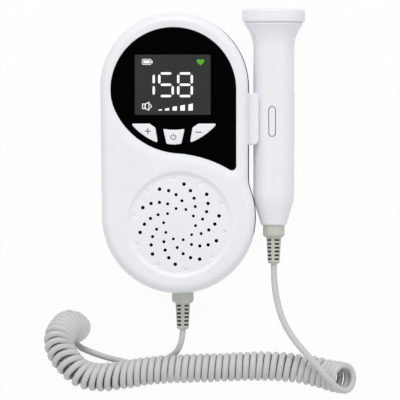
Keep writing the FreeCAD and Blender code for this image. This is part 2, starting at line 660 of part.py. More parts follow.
def display():
    """Window lens, display cell, its metal rim and the backlight block on the board."""
    lens = new_body("display_lens")
    grow(sketch(lens, "LensOutline", "XY_Plane",
                [box(s.window_x, s.window_y, s.window_width - 2 * s.window_fit,
                     s.window_height - 2 * s.window_fit)], "seat_height"),
         "panel_seat_depth + wall")
    crown_cut(lens, -s.panel_sink - s.window_fit)
    width = s.window_width + 2 * s.module_border
    length = s.window_height + 2 * s.module_border
    inner = box(s.window_x, s.window_y, width - 2 * s.display_rim, length - 2 * s.display_rim)
    rim = new_body("display_frame")
    grow(sketch(rim, "RimOutline", "XY_Plane",
                [box(s.window_x, s.window_y, width, length), inner], "board_face"),
         "seat_height - board_face")
    cell = new_body("display_cell")
    grow(sketch(cell, "CellOutline", "XY_Plane",
                [widened(inner, -s.window_fit)], "seat_height"), "display_web", reverse=True)
    light = new_body("display_backlight")
    grow(sketch(light, "LightOutline", "XY_Plane", [widened(inner, -s.window_fit)],
                "board_face"), "seat_height - board_face - display_web - backlight_gap")


def key(node, outline, centre):
    """A key cap that stands through the panel, with a flange behind it and a stem."""
    body = new_body(node)
    cap = grow(sketch(body, node + "Cap", "XY_Plane", [outline], "flange_top"),
               "unit_depth + wall - flange_top")
    rounded = dress("Fillet", cap, upright_edges(cap), "Radius", "key_corner")
    crowned = crown_cut(body, s.key_proud)
    top = max((face for face in crowned.Shape.Faces if face.BoundBox.ZMin > s.seat_height),
              key=lambda face: face.Area)
    dress("Fillet", crowned, top.OuterWire.Edges, "Radius", "key_edge")
    size = loop(outline).BoundBox
    flange = box(size.Center.x, size.Center.y, size.XLength + 2 * s.key_flange,
                 size.YLength + 2 * s.key_flange, s.key_corner)
    grow(sketch(body, node + "Flange", "XY_Plane", [flange], "flange_top"), "key_flange_web",
         reverse=True)
    foot = sketch(body, node + "Stem", "XY_Plane", [circle(*centre, s.key_stem_radius)],
                  "stem_base")
    grow(foot, "flange_top - key_flange_web / 2 - stem_base")


# ---------------------------------------------------------------- electronics

def main_board():
    """Board with a narrower top, hung under the front's posts."""
    body = new_body("main_board")
    middle, tab, wide = s.top_centre_x, s.board_tab, BOARD_HALF
    base, shoulder = s.top_centre_y + s.board_base, s.top_centre_y + s.board_shoulder
    top = s.top_centre_y + s.top_radius - s.wall - s.board_tab_margin
    outline = polygon((middle - wide, base), (middle + wide, base), (middle + wide, shoulder),
                      (middle + tab, shoulder), (middle + tab, top), (middle - tab, top),
                      (middle - tab, shoulder), (middle - wide, shoulder))
    holes = [circle(x, y, s.board_screw_radius + s.through_fit) for x, y in POSTS]
    grow(sketch(body, "BoardOutline", "XY_Plane", [outline] + holes, "board_face"), "board_web",
         reverse=True)


def board_parts():
    """Screws under the board, tact switches below the keys, and two chips."""
    screws = []
    for number, (x, y) in enumerate(POSTS, start=1):
        head = primitive("Cylinder", "BoardHead%d" % number, (x, y, s.board_under - s.board_head),
                         Radius="board_head_radius", Height="board_head")
        shank = primitive("Cylinder", "BoardShank%d" % number, (x, y, s.board_under),
                          Radius="board_screw_radius", Height="board_screw_length")
        screw = doc.addObject("Part::MultiFuse", "BoardScrew%d" % number)
        screw.Shapes = [head, shank]
        screws.append(screw)
    group("board_screws", screws)
    switches = []
    for number, (_, (x, y)) in enumerate(KEYS.values(), start=1):
        half = s.switch_width / 2
        case = primitive("Box", "SwitchCase%d" % number, (x - half, y - half, s.board_face),
                         Length="switch_width", Width="switch_width", Height="switch_body")
        plunger = primitive("Cylinder", "SwitchPlunger%d" % number, (x, y, s.board_face),
                            Radius="switch_stem_radius", Height="switch_body + switch_stem")
        switch = doc.addObject("Part::MultiFuse", "Switch%d" % number)
        switch.Shapes = [case, plunger]
        switches.append(switch)
    group("key_switches", switches)
    low = s.top_centre_y + s.board_base + s.chip_inset
    chips = [primitive("Box", name, (s.top_centre_x + x, low, s.board_face), Length=side,
                       Width=side, Height="chip_web")
             for name, x, side in (("Processor", s.processor_x, "processor_side"),
                                   ("Amplifier", s.amplifier_x, "amplifier_side"))]
    group("board_chips", chips)


def headphone_jack():
    """Socket under the board, its nose in the left wall and a bore for a 3.5 mm plug."""
    body = new_body("headphone_jack")
    centre = (s.jack_place_y, s.jack_height)
    case = box(*centre, s.jack_width, s.jack_thick)
    grow(sketch(body, "JackCase", "YZ_Plane", [case], "jack_back"), "jack_length")
    nose = circle(*centre, s.jack_nose)
    grow(sketch(body, "JackNose", "YZ_Plane", [nose], "jack_face"), "jack_back - jack_face + 1")
    bore = circle(*centre, s.jack_bore)
    cut(sketch(body, "JackBore", "YZ_Plane", [bore], "jack_face"), "jack_depth", along=True)


def speaker():
    """Foam gasket, pressed frame, paper cone with its roll edge, and the magnet."""
    radius, top = s.speaker_radius, s.speaker_seat
    ring = new_body("speaker_gasket")
    rings = [circle(0, 0, radius), circle(0, 0, radius - s.gasket_width)]
    grow(sketch(ring, "GasketRing", "XY_Plane", rings, "speaker_seat",
                ("speaker_x", "speaker_y")), "gasket_web", reverse=True)
    top -= s.gasket_web
    turned_speaker_part("speaker_cone", cone_profile(top))
    flange, base = top - s.cone_web, top - s.speaker_height
    rim, web, pan, bore = radius - s.gasket_width, s.speaker_sheet, s.speaker_pan, s.voice_radius
    turned_speaker_part("speaker_frame", polygon(
        (bore, base), (pan, base), (rim + web, flange - web), (radius, flange - web),
        (radius, flange), (rim, flange), (pan - web / 2, base + web), (bore, base + web)))
    disc = primitive("Cylinder", "MagnetDisc",
                     (s.speaker_x, s.speaker_y, base - s.magnet_height),
                     Radius="magnet_radius", Height="magnet_height")
    doc.recompute()
    magnet = doc.addObject("Part::Chamfer", "speaker_magnet")
    magnet.Base = disc
    magnet.Edges = [(edge, s.magnet_bevel, s.magnet_bevel) for edge in (1, 3)]
    magnet.Label = "speaker_magnet"
    NODES.append(magnet)


def turned_speaker_part(node, curves):
    body = new_body(node)
    spin("Revolution", sketch(body, node + "Profile", "XZ_Plane", [curves], "-speaker_y",
                              ("speaker_x", "0")))


def cone_profile(top):
    """Flat edge, a roll that sags, the cone and a raised cap, all of one web."""
    web, edge = s.cone_web, s.speaker_radius
    lip = edge - s.gasket_width - web
    roll, hub, cap = lip - s.roll_width, s.voice_radius, s.voice_radius / 2
    low = top - s.speaker_height + s.speaker_sheet + s.cone_gap
    upper = [(edge, top), (lip, top), (lip - s.roll_width / 2, top - s.roll_sag), (roll, top),
             (hub, low), (cap, low + s.cone_cap), (0, low + s.cone_cap)]
    return polygon(*upper, *((x, y - web) for x, y in reversed(upper)))


# ---------------------------------------------------------------- batteries

def cell_places():
    """Middle of each round cell's axis line, and whether its nub points up the unit."""
    apart = s.cell_radius + s.cell_gap / 2
    return [(s.top_centre_x + side * apart, side > 0) for side in (-1, 1)]


def batteries():
    """Two cells head to tail, and the sheet contacts on the bay's end walls."""
    height = s.door_top + s.cell_lift + s.cell_radius
    low, high = s.bay_y - s.bay_length / 2, s.bay_y + s.bay_length / 2
    cells, contacts = [], []
    for number, (x, nub_up) in enumerate(cell_places(), start=1):
        nub_end = high - s.contact_web if nub_up else low + s.contact_web
        way = -1 if nub_up else 1
        can = primitive("Cylinder", "CellCan%d" % number, (x, nub_end + way * s.cell_nub, height),
                        ALONG * way, Radius="cell_radius", Height="cell_length - cell_nub")
        nub = primitive("Cylinder", "CellNub%d" % number, (x, nub_end, height), ALONG * way,
                        Radius="nub_radius", Height="cell_nub")
        cell = doc.addObject("Part::MultiFuse", "Cell%d" % number)
        cell.Shapes = [can, nub]
        cells.append(cell)
        contacts.append(nub_contact(x, height, nub_end, way))
        contacts.append(leaf_contact(x, height, nub_end + way * s.cell_length,
                                     low if nub_up else high, way))
    group("battery_cells", cells)
    shaped("battery_contacts", Part.makeCompound(contacts))


def nub_contact(x, height, face_y, way):
    """A flat plate between the bay's end wall and a cell's nub."""
    half, web = s.contact_width / 2, s.contact_web
    plate = Part.makeBox(2 * half, web, 2 * half)
    plate.translate(Vector(x - half, face_y - (web if way > 0 else 0), height - half))
    return plate


def leaf_contact(x, height, cell_end, wall_y, way):
    """A bent leaf that presses on a cell's flat end: plate, V and curled tip."""
    web, half = s.contact_web, s.contact_width / 2
    touch = cell_end + way * (s.contact_fit + web / 2)
    plate = wall_y - way * web / 2
    spine = [(plate, half), (plate, -half), (touch, -s.contact_touch), (touch, s.contact_touch),
             (plate - way * 2 * web, half - 2 * web)]
    path = [Vector(x, y, height + z) for y, z in spine]
    strip = Part.makePolygon(path).makeOffset2D(web / 2, fill=True, openResult=False)
    solid = strip.extrude(Vector(s.contact_width, 0, 0))
    solid.translate(Vector(-half, 0, 0))
    return solid


def battery_door():
    """Flush door with two hooks at its top, a spring tongue at its foot and a finger grip."""
    body = new_body("battery_door")
    x, y = s.top_centre_x, s.bay_y
    plate = box(x, y, s.door_width, s.door_length, s.door_corner)
    grow(sketch(body, "DoorPlate", "XY_Plane", [plate], "door_sink"), "door_web")
    hooks = [box(x + side * s.tab_spread, s.bay_end - s.tab_reach / 2 + s.tab_hook / 2,
                 s.tab_width, s.tab_reach + s.tab_hook) for side in (-1, 1)]
    grow(sketch(body, "DoorHooks", "XY_Plane", hooks, "hook_base"), "tab_web")
    roots = [box(x + side * s.tab_spread, s.bay_end - s.tab_reach + s.door_ledge / 2,
                 s.tab_width, s.door_ledge) for side in (-1, 1)]
    grow(sketch(body, "HookRoots", "XY_Plane", roots, "door_sink + door_web / 2"),
         "door_web / 2 + door_fit + tab_lift + tab_web")
    foot = y - s.bay_length / 2 + s.latch_room
    tongue = box(x, foot + s.latch_web / 2, s.latch_width, s.latch_web)
    grow(sketch(body, "DoorTongue", "XY_Plane", [tongue], "door_sink + door_web / 2"),
         "door_web / 2 + latch_height")
    first = y - s.door_length / 2 + 2 * s.grip_pitch
    groove = box(x, first, s.grip_width, s.grip_groove, 0.4 * s.grip_groove)
    grip = sketch(body, "GripGroove", "XY_Plane", [groove], "door_sink")
    pocket = cut(grip, "grip_depth", along=True)
    patterned("LinearPattern", pocket, Direction=(grip, ["V_Axis"]),
              Length=s.grip_pitch * (s.grip_count - 1), Occurrences=int(s.grip_count))


# ---------------------------------------------------------------- strain reliefs

def strain_relief(node, place, turn=0):
    """Rubber boot with a collar outside the wall, a neck through it and a flange behind it."""
    body = new_body(node)
    shoulder = -s.collar_length - s.collar_bevel
    tip = shoulder - s.boot_length
    narrow = s.collar_radius - s.collar_step
    profile = polygon(
        (0, s.neck_length + s.flange_web), (s.flange_radius, s.neck_length + s.flange_web),
        (s.flange_radius, s.neck_length), (s.neck_radius, s.neck_length), (s.neck_radius, 0),
        (s.collar_radius, 0), (s.collar_radius, -s.collar_length), (narrow, shoulder),
        (s.boot_radius, shoulder), (s.boot_end_radius, tip + s.boot_round),
        (s.boot_end_radius - s.boot_round, tip), (0, tip))
    spin("Revolution", sketch(body, node + "Profile", "XY_Plane", [profile]))
    outer = 2 * s.boot_radius
    windows = []
    for quadrant in range(4):
        middle = math.pi / 2 * quadrant
        mirror = quadrant % 2
        angles = sorted(math.pi / 2 - math.radians(angle) if mirror else math.radians(angle)
                        for angle in (s.slot_from, s.slot_to))
        start, end = (middle + angle for angle in angles)
        windows.append([
            arc((0, 0), s.relief_core, start, end), arc((0, 0), outer, start, end),
            line(polar((0, 0), s.relief_core, start), polar((0, 0), outer, start)),
            line(polar((0, 0), s.relief_core, end), polar((0, 0), outer, end))])
    ladder = sketch(body, node + "Slots", "XZ_Plane", windows,
                    "collar_length + collar_bevel + slot_first + slot_height")
    first = cut(ladder, "slot_height")
    patterned("LinearPattern", first, Direction=(ladder, ["N_Axis"]),
              Length=s.slot_pitch * (s.slot_count - 1), Occurrences=int(s.slot_count))
    body.Placement = Placement(Vector(*place), Rotation(ALONG, turn + 90))


# ---------------------------------------------------------------- probe

def probe_profile():
    """Half outline of the handle from its seam with the head down to its end, as (r, y)."""
    radius, end = s.probe_radius, s.probe_end_y
    neck_centre = (radius + s.neck_round, s.neck_start_y)
    rise = math.sqrt(s.neck_round ** 2 - (neck_centre[0] - s.shoulder_r) ** 2)
    lip = (s.shoulder_r, s.neck_start_y + rise)
    middle_angle = (math.pi + heading(neck_centre, lip)) / 2
    angle = math.radians(s.taper_angle)
    taper_centre = (radius - s.taper_round, s.taper_start_y)
    taper = polar(taper_centre, s.taper_round, -angle)
    taper_middle = polar(taper_centre, s.taper_round, -angle / 2)
    slope = math.tan(angle)
    corner_y = end + s.probe_end_round
    corner = (taper[0] - (taper[1] - corner_y) * slope, corner_y)
    return {"seam": (s.shoulder_r, s.probe_seam_y), "lip": lip,
            "neck": polar(neck_centre, s.neck_round, middle_angle),
            "grip_top": (radius, s.neck_start_y), "grip_base": (radius, s.taper_start_y),
            "taper_middle": taper_middle, "taper": taper, "corner": corner,
            "end": (corner[0] - s.probe_end_round, end)}


def probe_shell(node, reverse):
    """One of the two half shells of the handle, hollow, with an end wall for the relief."""
    body = new_body(node)
    place = probe_profile()
    web, hole = s.probe_wall, s.neck_radius + s.relief_fit
    wall_top = s.probe_end_y + s.neck_length
    inner_end = place["corner"][0] - web / 2
    bore = s.spigot_radius + s.spigot_fit
    bore_end = s.probe_seam_y - s.spigot_length - s.spigot_wall
    inner = [(bore, s.probe_seam_y), (bore, bore_end), (s.probe_radius - web, s.neck_start_y),
             (s.probe_radius - web, s.taper_start_y), (inner_end, wall_top), (hole, wall_top),
             (hole, s.probe_end_y)]
    outer = [line(place["seam"], place["lip"]),
             bend(place["lip"], place["neck"], place["grip_top"]),
             line(place["grip_top"], place["grip_base"]),
             bend(place["grip_base"], place["taper_middle"], place["taper"]),
             line(place["taper"], place["corner"]), line(place["corner"], place["end"]),
             line(place["end"], inner[-1])]
    inside = [line(a, b) for a, b in zip(inner, inner[1:])]
    profile = outer + inside + [line(inner[0], place["seam"])]
    spin("Revolution", sketch(body, node + "Profile", "XY_Plane", [profile]), 180, reverse)
    body.Placement = probe_place()


def probe_place():
    return Placement(Vector(s.probe_x, 0, s.probe_axis_height), Rotation())


def turned_probe_part(node, curves):
    body = new_body(node)
    spin("Revolution", sketch(body, node + "Profile", "XY_Plane", [curves]))
    body.Placement = probe_place()


def probe_head():
    """Cap, lens, half-disc crystals, backing and seal at the listening end of the probe."""
    seam, front = s.probe_seam_y, s.probe_seam_y + s.head_length - s.face_crown
    radius, well, soft = s.head_radius, s.head_radius - s.head_wall, s.head_round
    lens_seat = front - s.face_web
    back = lens_seat - s.crystal_web
    floor = back - s.backing_web
    spigot, bore = s.spigot_radius, s.spigot_radius - s.spigot_wall
    groove, half = spigot + s.spigot_fit - s.seal_web, s.seal_groove / 2
    seal_y, tail = seam - s.seal_inset, seam - s.spigot_length
    pocket = s.crystal_radius + s.crystal_room
    outline = [(bore, tail), (spigot, tail), (spigot, seal_y - half), (groove, seal_y - half),
               (groove, seal_y + half), (spigot, seal_y + half), (spigot, seam), (radius, seam),
               (radius, front - soft)]
    inside = [(radius - soft, front), (well, front), (well, lens_seat), (pocket, lens_seat),
              (pocket, floor), (bore, floor), (bore, tail)]
    cap = [line(a, b) for path in (outline, inside) for a, b in zip(path, path[1:])]
    cap.append(arc((radius - soft, front - soft), soft, 0, math.pi / 2))
    turned_probe_part("probe_head", cap)
    edge = well - s.probe_fit
    lens = [line((0, lens_seat), (edge, lens_seat)), line((edge, lens_seat), (edge, front)),
            dome(edge, front, s.face_crown), line((0, front + s.face_crown), (0, lens_seat))]
    turned_probe_part("probe_face", lens)
    disc = pocket - s.probe_fit
    turned_probe_part("crystal_backing",
                      polygon((0, floor), (disc, floor), (disc, back), (0, back)))
    turned_probe_part("probe_seal", box(groove + s.seal_web / 2, seal_y, s.seal_web, s.seal_web))
    crystals(back)


def crystals(back):
    """Two half-disc crystals with a gap between them, one to send and one to listen."""
    discs = []
    half_gap = s.crystal_gap / 2
    for number, side in enumerate((1, -1), start=1):
        disc = primitive("Cylinder", "CrystalDisc%d" % number,
                         (s.probe_x, back, s.probe_axis_height), ALONG,
                         Radius="crystal_radius", Height="crystal_web")
        low = half_gap if side > 0 else -half_gap - s.crystal_radius
        keep = primitive("Box", "CrystalHalf%d" % number,
                         (s.probe_x + low, back - 1, s.probe_axis_height - s.crystal_radius),
                         Length="crystal_radius", Width="crystal_web + 2",
                         Height="2 * crystal_radius")
        half = doc.addObject("Part::MultiCommon", "Crystal%d" % number)
        half.Shapes = [disc, keep]
        discs.append(half)
    group("transducer_crystals", discs)


def probe_board():
    """Narrow board that lies across the handle, between its shells."""
    body = new_body("probe_board")
    width = 2 * (s.probe_radius - s.probe_wall - s.probe_board_fit)
    outline = box(0, s.probe_board_start + s.probe_board_length / 2, width,
                  s.probe_board_length, s.probe_board_corner)
    grow(sketch(body, "ProbeBoard", "XY_Plane", [outline], "-probe_board_web / 2"),
         "probe_board_web")
    body.Placement = probe_place()


# ---------------------------------------------------------------- probe holder

def probe_holder():
    """Clip: a short front jaw, a back jaw round the handle, and a trapped root in the wall."""
    body = new_body("probe_holder")
    axis = (s.probe_x, s.probe_axis_height)
    inner = s.probe_radius + s.holder_fit
    outer = inner + s.holder_web
    wall_x = s.side_x
    front = math.acos(-s.jaw_reach / inner)
    back, root = math.radians(s.back_jaw_angle), math.radians(s.back_root_angle)
    jaw_x = s.probe_x - s.jaw_reach
    mouth = polar(axis, inner, front)
    lip = (jaw_x, mouth[1] + s.jaw_lip)
    crest = (s.probe_x - s.jaw_crest_x, s.probe_axis_height + s.jaw_crest)
    top, base = s.probe_axis_height + s.jaw_root, s.probe_axis_height - s.back_root
    tip_middle = polar(axis, inner + s.holder_web / 2, back + 0.08)
    root_out = polar(axis, outer, root)
    section = [line((wall_x, base), (wall_x, top)), bend((wall_x, top), crest, lip),
               line(lip, mouth), arc(axis, inner, front, back + math.tau),
               bend(polar(axis, inner, back), tip_middle, polar(axis, outer, back)),
               arc(axis, outer, root, back + math.tau), line(root_out, (wall_x, base))]
    grow(sketch(body, "HolderSection", "XZ_Plane", [section], "-holder_top"), "holder_length")
    middle = s.holder_top - s.holder_length / 2
    tongue = box(middle, (s.tongue_top + s.tongue_base) / 2, s.holder_length - 2 * s.tongue_inset,
                 s.tongue_top - s.tongue_base)
    grow(sketch(body, "HolderTongue", "YZ_Plane", [tongue], "side_x"),
         "wall + trap_fit", reverse=True)
    plate = widened(tongue, s.trap_border)
    grow(sketch(body, "HolderTrap", "YZ_Plane", [plate],
                "side_x - wall - trap_fit"), "trap_web", reverse=True)
    corner, reach = s.jaw_corner, jaw_x + 1
    ends = []
    for way, end in ((1, s.holder_top), (-1, s.holder_top - s.holder_length)):
        centre = (jaw_x - corner, end - way * corner)
        diagonal = polar(centre, corner, way * math.pi / 4)
        ends.append([bend((jaw_x, centre[1]), diagonal, (centre[0], end)),
                     line((centre[0], end), (centre[0], end + way)),
                     line((centre[0], end + way), (reach, end + way)),
                     line((reach, end + way), (reach, centre[1])),
                     line((reach, centre[1]), (jaw_x, centre[1]))])
    cut(sketch(body, "JawCorners", "XY_Plane", ends, "probe_axis_height"), along=True)


# ---------------------------------------------------------------- cord

# Places that the cord passes, in order from the unit to the probe
UNIT_LEAD = [(2.3, -90.1, 12), (2.3, -93.6, 12), (2, -97.8, 10.6), (0.6, -101.2, 7.4),
             (-2.2, -103.6, 4.4), (-6.3, -105.4, 2.4), (-11.6, -106.9, 1.6),
             (-17.5, -107.5, 1.6), (-24, -106.9, 1.6), (-31.3, -104.9, 1.6),
             (-39.4, -101.8, 1.6), (-46.6, -98.4, 1.6), (-51.6, -95, 2.3), (-53.6, -91, 3.9)]
COIL = [(-46, -89.8, 8.4), (-51.9, -87.1, 9.2), (-58.6, -89.1, 10), (-62.1, -95.1, 9.9),
        (-60.7, -101.9, 9.2), (-54.6, -107.2, 8.4), (-45.6, -112.2, 7.8), (-34.8, -114.2, 8.4),
        (-24.6, -112.9, 9.1), (-13.4, -111.4, 9.2), (-1, -110.6, 8.9), (12, -110.3, 7.8),
        (25, -109.5, 7.2), (38, -108.9, 7), (51, -109.2, 7.1), (63.6, -110.9, 7.1),
        (75.2, -113.1, 7.6), (84.6, -115.4, 9.6)]
PROBE_LEAD = [(48.7, -56.6, 16.5), (48.7, -64.6, 16.5), (50.2, -74.4, 17.2),
              (52.9, -84.4, 18.6), (58.1, -93.8, 20), (65, -102.4, 21), (71.8, -109.4, 20.8),
              (77.6, -115.3, 18.6), (82, -119.9, 14.4), (85, -122, 9.6)]


def rounded_route(name, places, share=0.45):
    """Straight runs joined by tangent arcs, each as large as its two runs allow."""
    stops = [Vector(*place) for place in places]
    edges, radii, here = [], [], stops[0]
    for before, corner, after in zip(stops, stops[1:], stops[2:]):
        back, ahead = (before - corner).normalize(), (after - corner).normalize()
        trim = share * min((before - corner).Length, (after - corner).Length)
        turn = math.pi - back.getAngle(ahead)
        radius = trim / math.tan(turn / 2)
        start, end = corner + back * trim, corner + ahead * trim
        inward = (back + ahead).normalize()
        middle = corner + inward * (radius / math.cos(turn / 2) - radius)
        edges += [Part.LineSegment(here, start).toShape(), Part.Arc(start, middle, end).toShape()]
        radii.append(radius)
        here = end
    edges.append(Part.LineSegment(here, stops[-1]).toShape())
    print("%s radii %s mm" % (name, ", ".join("%.0f" % radius for radius in radii)))
    return Part.Wire(edges)


def cord_piece(node, places, diameter):
    """A round solid along the route, whose volume must match its length."""
    route = rounded_route(node, places)
    start = route.Edges[0]
    section = Part.Wire(Part.makeCircle(diameter / 2, start.valueAt(start.FirstParameter),
                                        start.tangentAt(start.FirstParameter)))
    solid = route.makePipeShell([section], True, False)
    expected = math.pi * diameter ** 2 / 4 * route.Length
    print("%s length %.1f mm, volume %.3f of its length times its section"
          % (node, route.Length, solid.Volume / expected))
    shaped(node, solid)


# ---------------------------------------------------------------- the whole object

front_housing()
rear_housing()
housing_screws()
face_panel()
display()
for node, (outline, centre) in KEYS.items():
    key(node, outline, centre)
main_board()
board_parts()
headphone_jack()
speaker()
batteries()
battery_door()
strain_relief("unit_strain_relief", (s.relief_x, s.relief_seat, s.parting_height))
strain_relief("probe_strain_relief", (s.probe_x, s.probe_end_y, s.probe_axis_height),
              s.relief_turn)
probe_shell("probe_front_shell", False)
probe_shell("probe_back_shell", True)
probe_head()
probe_board()
probe_holder()
cord_piece("cord_lead_unit", UNIT_LEAD, s.cord_diameter)
cord_piece("cord_coil", COIL, s.coil_diameter)
cord_piece("cord_lead_probe", PROBE_LEAD, s.cord_diameter)

doc.recompute()
for item in doc.Objects:
    if {"Invalid", "Error"} & set(item.State):
        raise RuntimeError("%s has failed: %s" % (item.Label, item.State))
for node in NODES:
    if node.Shape.isNull() or not node.Shape.isValid() or not node.Shape.Solids:
        raise RuntimeError("%s has no valid solid" % node.Label)

os.makedirs("parts", exist_ok=True)
for node in NODES:
    node.Shape.exportStep("parts/%s.step" % node.Label)
    size = node.Shape.BoundBox
    print("%-20s solids %2d volume %9.1f  x %7.2f %7.2f  y %7.2f %7.2f  z %6.2f %6.2f"
          % (node.Label, len(node.Shape.Solids), node.Shape.Volume, size.XMin, size.XMax,
             size.YMin, size.YMax, size.ZMin, size.ZMax))
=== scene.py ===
# %% [markdown]
# # A hand-held heart monitor with a clip-on probe and a curly cord
# A white moulded unit lies on its back. Its face has a glossy black panel with a small display
# and three keys, and below it a round dish with spiral arms of sound holes. A white probe sits
# in a clip on the right side, and one curly cord joins the two. The frame comes first: it
# holds every plain solid of the part and says on which body it moves. Each piece made here
# rides on one of those bodies, and where it takes over from a plain solid, it says so.

import json
import math

import bmesh
import bpy
import numpy as np
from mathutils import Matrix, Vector
from mathutils.geometry import delaunay_2d_cdt


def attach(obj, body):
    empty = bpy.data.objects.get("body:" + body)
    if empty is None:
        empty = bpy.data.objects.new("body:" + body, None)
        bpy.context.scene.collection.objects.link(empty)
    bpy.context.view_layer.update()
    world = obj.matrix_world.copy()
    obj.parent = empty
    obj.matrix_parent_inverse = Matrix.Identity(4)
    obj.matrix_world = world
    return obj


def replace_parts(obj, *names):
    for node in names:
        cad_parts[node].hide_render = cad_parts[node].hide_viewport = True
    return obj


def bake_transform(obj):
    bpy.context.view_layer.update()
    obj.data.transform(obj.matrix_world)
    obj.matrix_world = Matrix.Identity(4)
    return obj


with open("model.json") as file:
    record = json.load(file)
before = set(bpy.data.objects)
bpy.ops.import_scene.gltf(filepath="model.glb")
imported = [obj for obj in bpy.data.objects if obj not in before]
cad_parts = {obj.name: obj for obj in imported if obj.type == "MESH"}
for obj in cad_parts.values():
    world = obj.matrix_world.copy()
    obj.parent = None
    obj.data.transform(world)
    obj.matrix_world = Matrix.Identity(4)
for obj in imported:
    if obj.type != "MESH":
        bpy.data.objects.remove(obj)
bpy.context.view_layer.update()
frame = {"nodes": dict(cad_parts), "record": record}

# %% [markdown]
# Sizes are written in millimetres, as on a drawing, and one factor turns them into Blender's
# metres when a mesh is made. The numbers below follow the part's own drawing to within 0.7 mm,
# so every surface meets the solid that it dresses. A name that ends in _R is a radius, and the
# pair in front of it is the middle of that circle, seen from the front.

# %% Sizes of the unit
MM = 0.001
TAU = 2 * math.pi
TOP, TOP_R = np.array((-1.95, 33.5)), 37.95
BASE, BASE_R = np.array((0.3, -32.6)), 39.3
SIDE_X, WAIST_R = 36.0, 15.0
DEPTH, PARTING, CROWN_R, FRONT_ROUND, WALL = 33.0, 12.0, 600.0, 5.4, 2.2
PANEL, PANEL_R = np.array((-2.5, 31.75)), 31.8
SHOULDER, SHOULDER_R = np.array((2.0, 37.0)), 37.4
FOOT, BLEND_R, CORNER_R = np.array((-4.7, -60.8)), 24.0, 2.0
DISH, DISH_R, DISH_WALL, DISH_DEPTH = np.array((0.7, -36.5)), 26.8, 2.2, 1.6
print("unit %.1f mm long and %.1f mm deep" % (TOP[1] + TOP_R - BASE[1] + BASE_R, DEPTH))

# %% [markdown]
# Every piece is a set of points worked out with numpy, and this function puts them into a
# mesh. The faces are turned outwards, which Blender can do by itself on a closed surface. An
# edge stays sharp where its two faces meet at more than a set angle, and all others are shaded
# smooth, so a moulded piece needs few faces.

# %% A mesh from points and faces
SHARP, SAME_POINT = math.radians(38), 1e-7


def placed(name, data):
    """A new object, put into the scene."""
    thing = bpy.data.objects.new(name, data)
    bpy.context.scene.collection.objects.link(thing)
    return thing


def closed_mesh(name, points, faces, looks, merge):
    """A mesh with its doubles merged, its faces turned outwards and its sharp edges marked."""
    mesh = bpy.data.meshes.new(name)
    mesh.from_pydata((points * MM).tolist(), [], faces)
    mesh.polygons.foreach_set("material_index", looks)
    work = bmesh.new()
    work.from_mesh(mesh)
    if merge:
        bmesh.ops.remove_doubles(work, verts=work.verts, dist=SAME_POINT)
    bmesh.ops.recalc_face_normals(work, faces=work.faces)
    for edge in work.edges:
        edge.smooth = len(edge.link_faces) == 2 and edge.calc_face_angle() < SHARP
    for face in work.faces:
        face.smooth = True
    work.to_mesh(mesh)
    work.free()
    return mesh


# %% [markdown]
# A shape is built from rings of points: two rings of the same length are joined by a band of
# four-sided faces, a ring and a middle point by a fan, and a flat or crowned area is a net of
# triangles at two heights. The class below gathers them under running numbers. Its last step
# makes the object, which rides on one body and takes its finishes.

# %% A piece gathered from rings
class Surface:
    """Points and faces of one piece, gathered ring by ring."""

    def __init__(self):
        self.points, self.faces, self.looks, self.count = [], [], [], 0

    def add(self, points):
        """Puts points in and gives their numbers."""
        points = np.asarray(points, float).reshape(-1, 3)
        numbers = self.count + np.arange(len(points))
        self.points.append(points)
        self.count += len(points)
        return numbers

    def fill(self, corners, look=0):
        """Faces from rows of point numbers, with the number of their finish."""
        self.faces += np.asarray(corners).tolist()
        self.looks += [look] * len(corners)

    def band(self, a, b, look=0):
        """Four-sided faces between two rings: corners a[i], a[i+1], b[i+1], b[i]."""
        self.fill(np.stack([a, np.roll(a, -1), np.roll(b, -1), b], axis=1), look)

    def chain(self, rings, look=0):
        """Bands from each ring to the next. The first band keeps look 0 and the others take the
        given look, which can paint shade deeper in.
        """
        for number, (a, b) in enumerate(zip(rings, rings[1:])):
            self.band(a, b, look if number else 0)

    def cap(self, ring, centre):
        """A fan from one middle point to a ring."""
        middle = self.add(centre)[0]
        self.fill(np.stack([ring, np.roll(ring, -1), np.full(len(ring), middle)], axis=1))

    def sheets(self, net, triangles, top, base):
        """One net at two heights, the lower one turned over. Gives the numbers of both."""
        upper, lower = self.add(lift(net, top)), self.add(lift(net, base))
        self.fill(upper[triangles])
        self.fill(lower[triangles][:, ::-1])
        return upper, lower

    def piece(self, name, slot, body="unit", finishes=(), merge=True):
        """Makes the object, lets it ride on a body and gives it its finishes."""
        mesh = closed_mesh(name, np.concatenate(self.points), self.faces, self.looks, merge)
        piece = placed(name, mesh)
        if body:
            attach(piece, body)
        for look in finishes:
            mesh.materials.append(FINISHES[look])
        print("%s: %d points, %d faces" % (name, len(mesh.vertices), len(mesh.polygons)))
        return piece

# %% [markdown]
# Most pieces are drawn flat first, as seen from the front, and then lifted to their heights.
# These short formulas are the drawing tools: points on a circle or a straight line, the
# direction from one point to another, and a soft step that turns any distance into a slope
# without a crease.

# %% Points, circles, lines and a soft step
def lift(flat, height):
    """Points of the plane at a height, one number or one per point."""
    flat = np.asarray(flat, float)
    return np.column_stack([flat, np.broadcast_to(height, len(flat))])


def polar(centre, radius, angle):
    """Centre + radius (cos a, sin a), for one angle or many."""
    angle = np.asarray(angle, float)
    return np.asarray(centre) + radius * np.stack([np.cos(angle), np.sin(angle)], axis=-1)


def circle(centre, radius, count):
    """Even points all round a circle."""
    return polar(centre, radius, np.arange(count) * TAU / count)


def arc_line(centre, radius, start, end, count):
    """Points on an arc from one angle to another, in degrees and with both ends."""
    return polar(centre, radius, np.radians(np.linspace(start, end, count)))


def arc(centre, radius, start, end, count):
    """Points on an arc without its end, where the next line begins. Angles in radians."""
    return polar(centre, radius, np.linspace(start, end, count, endpoint=False))


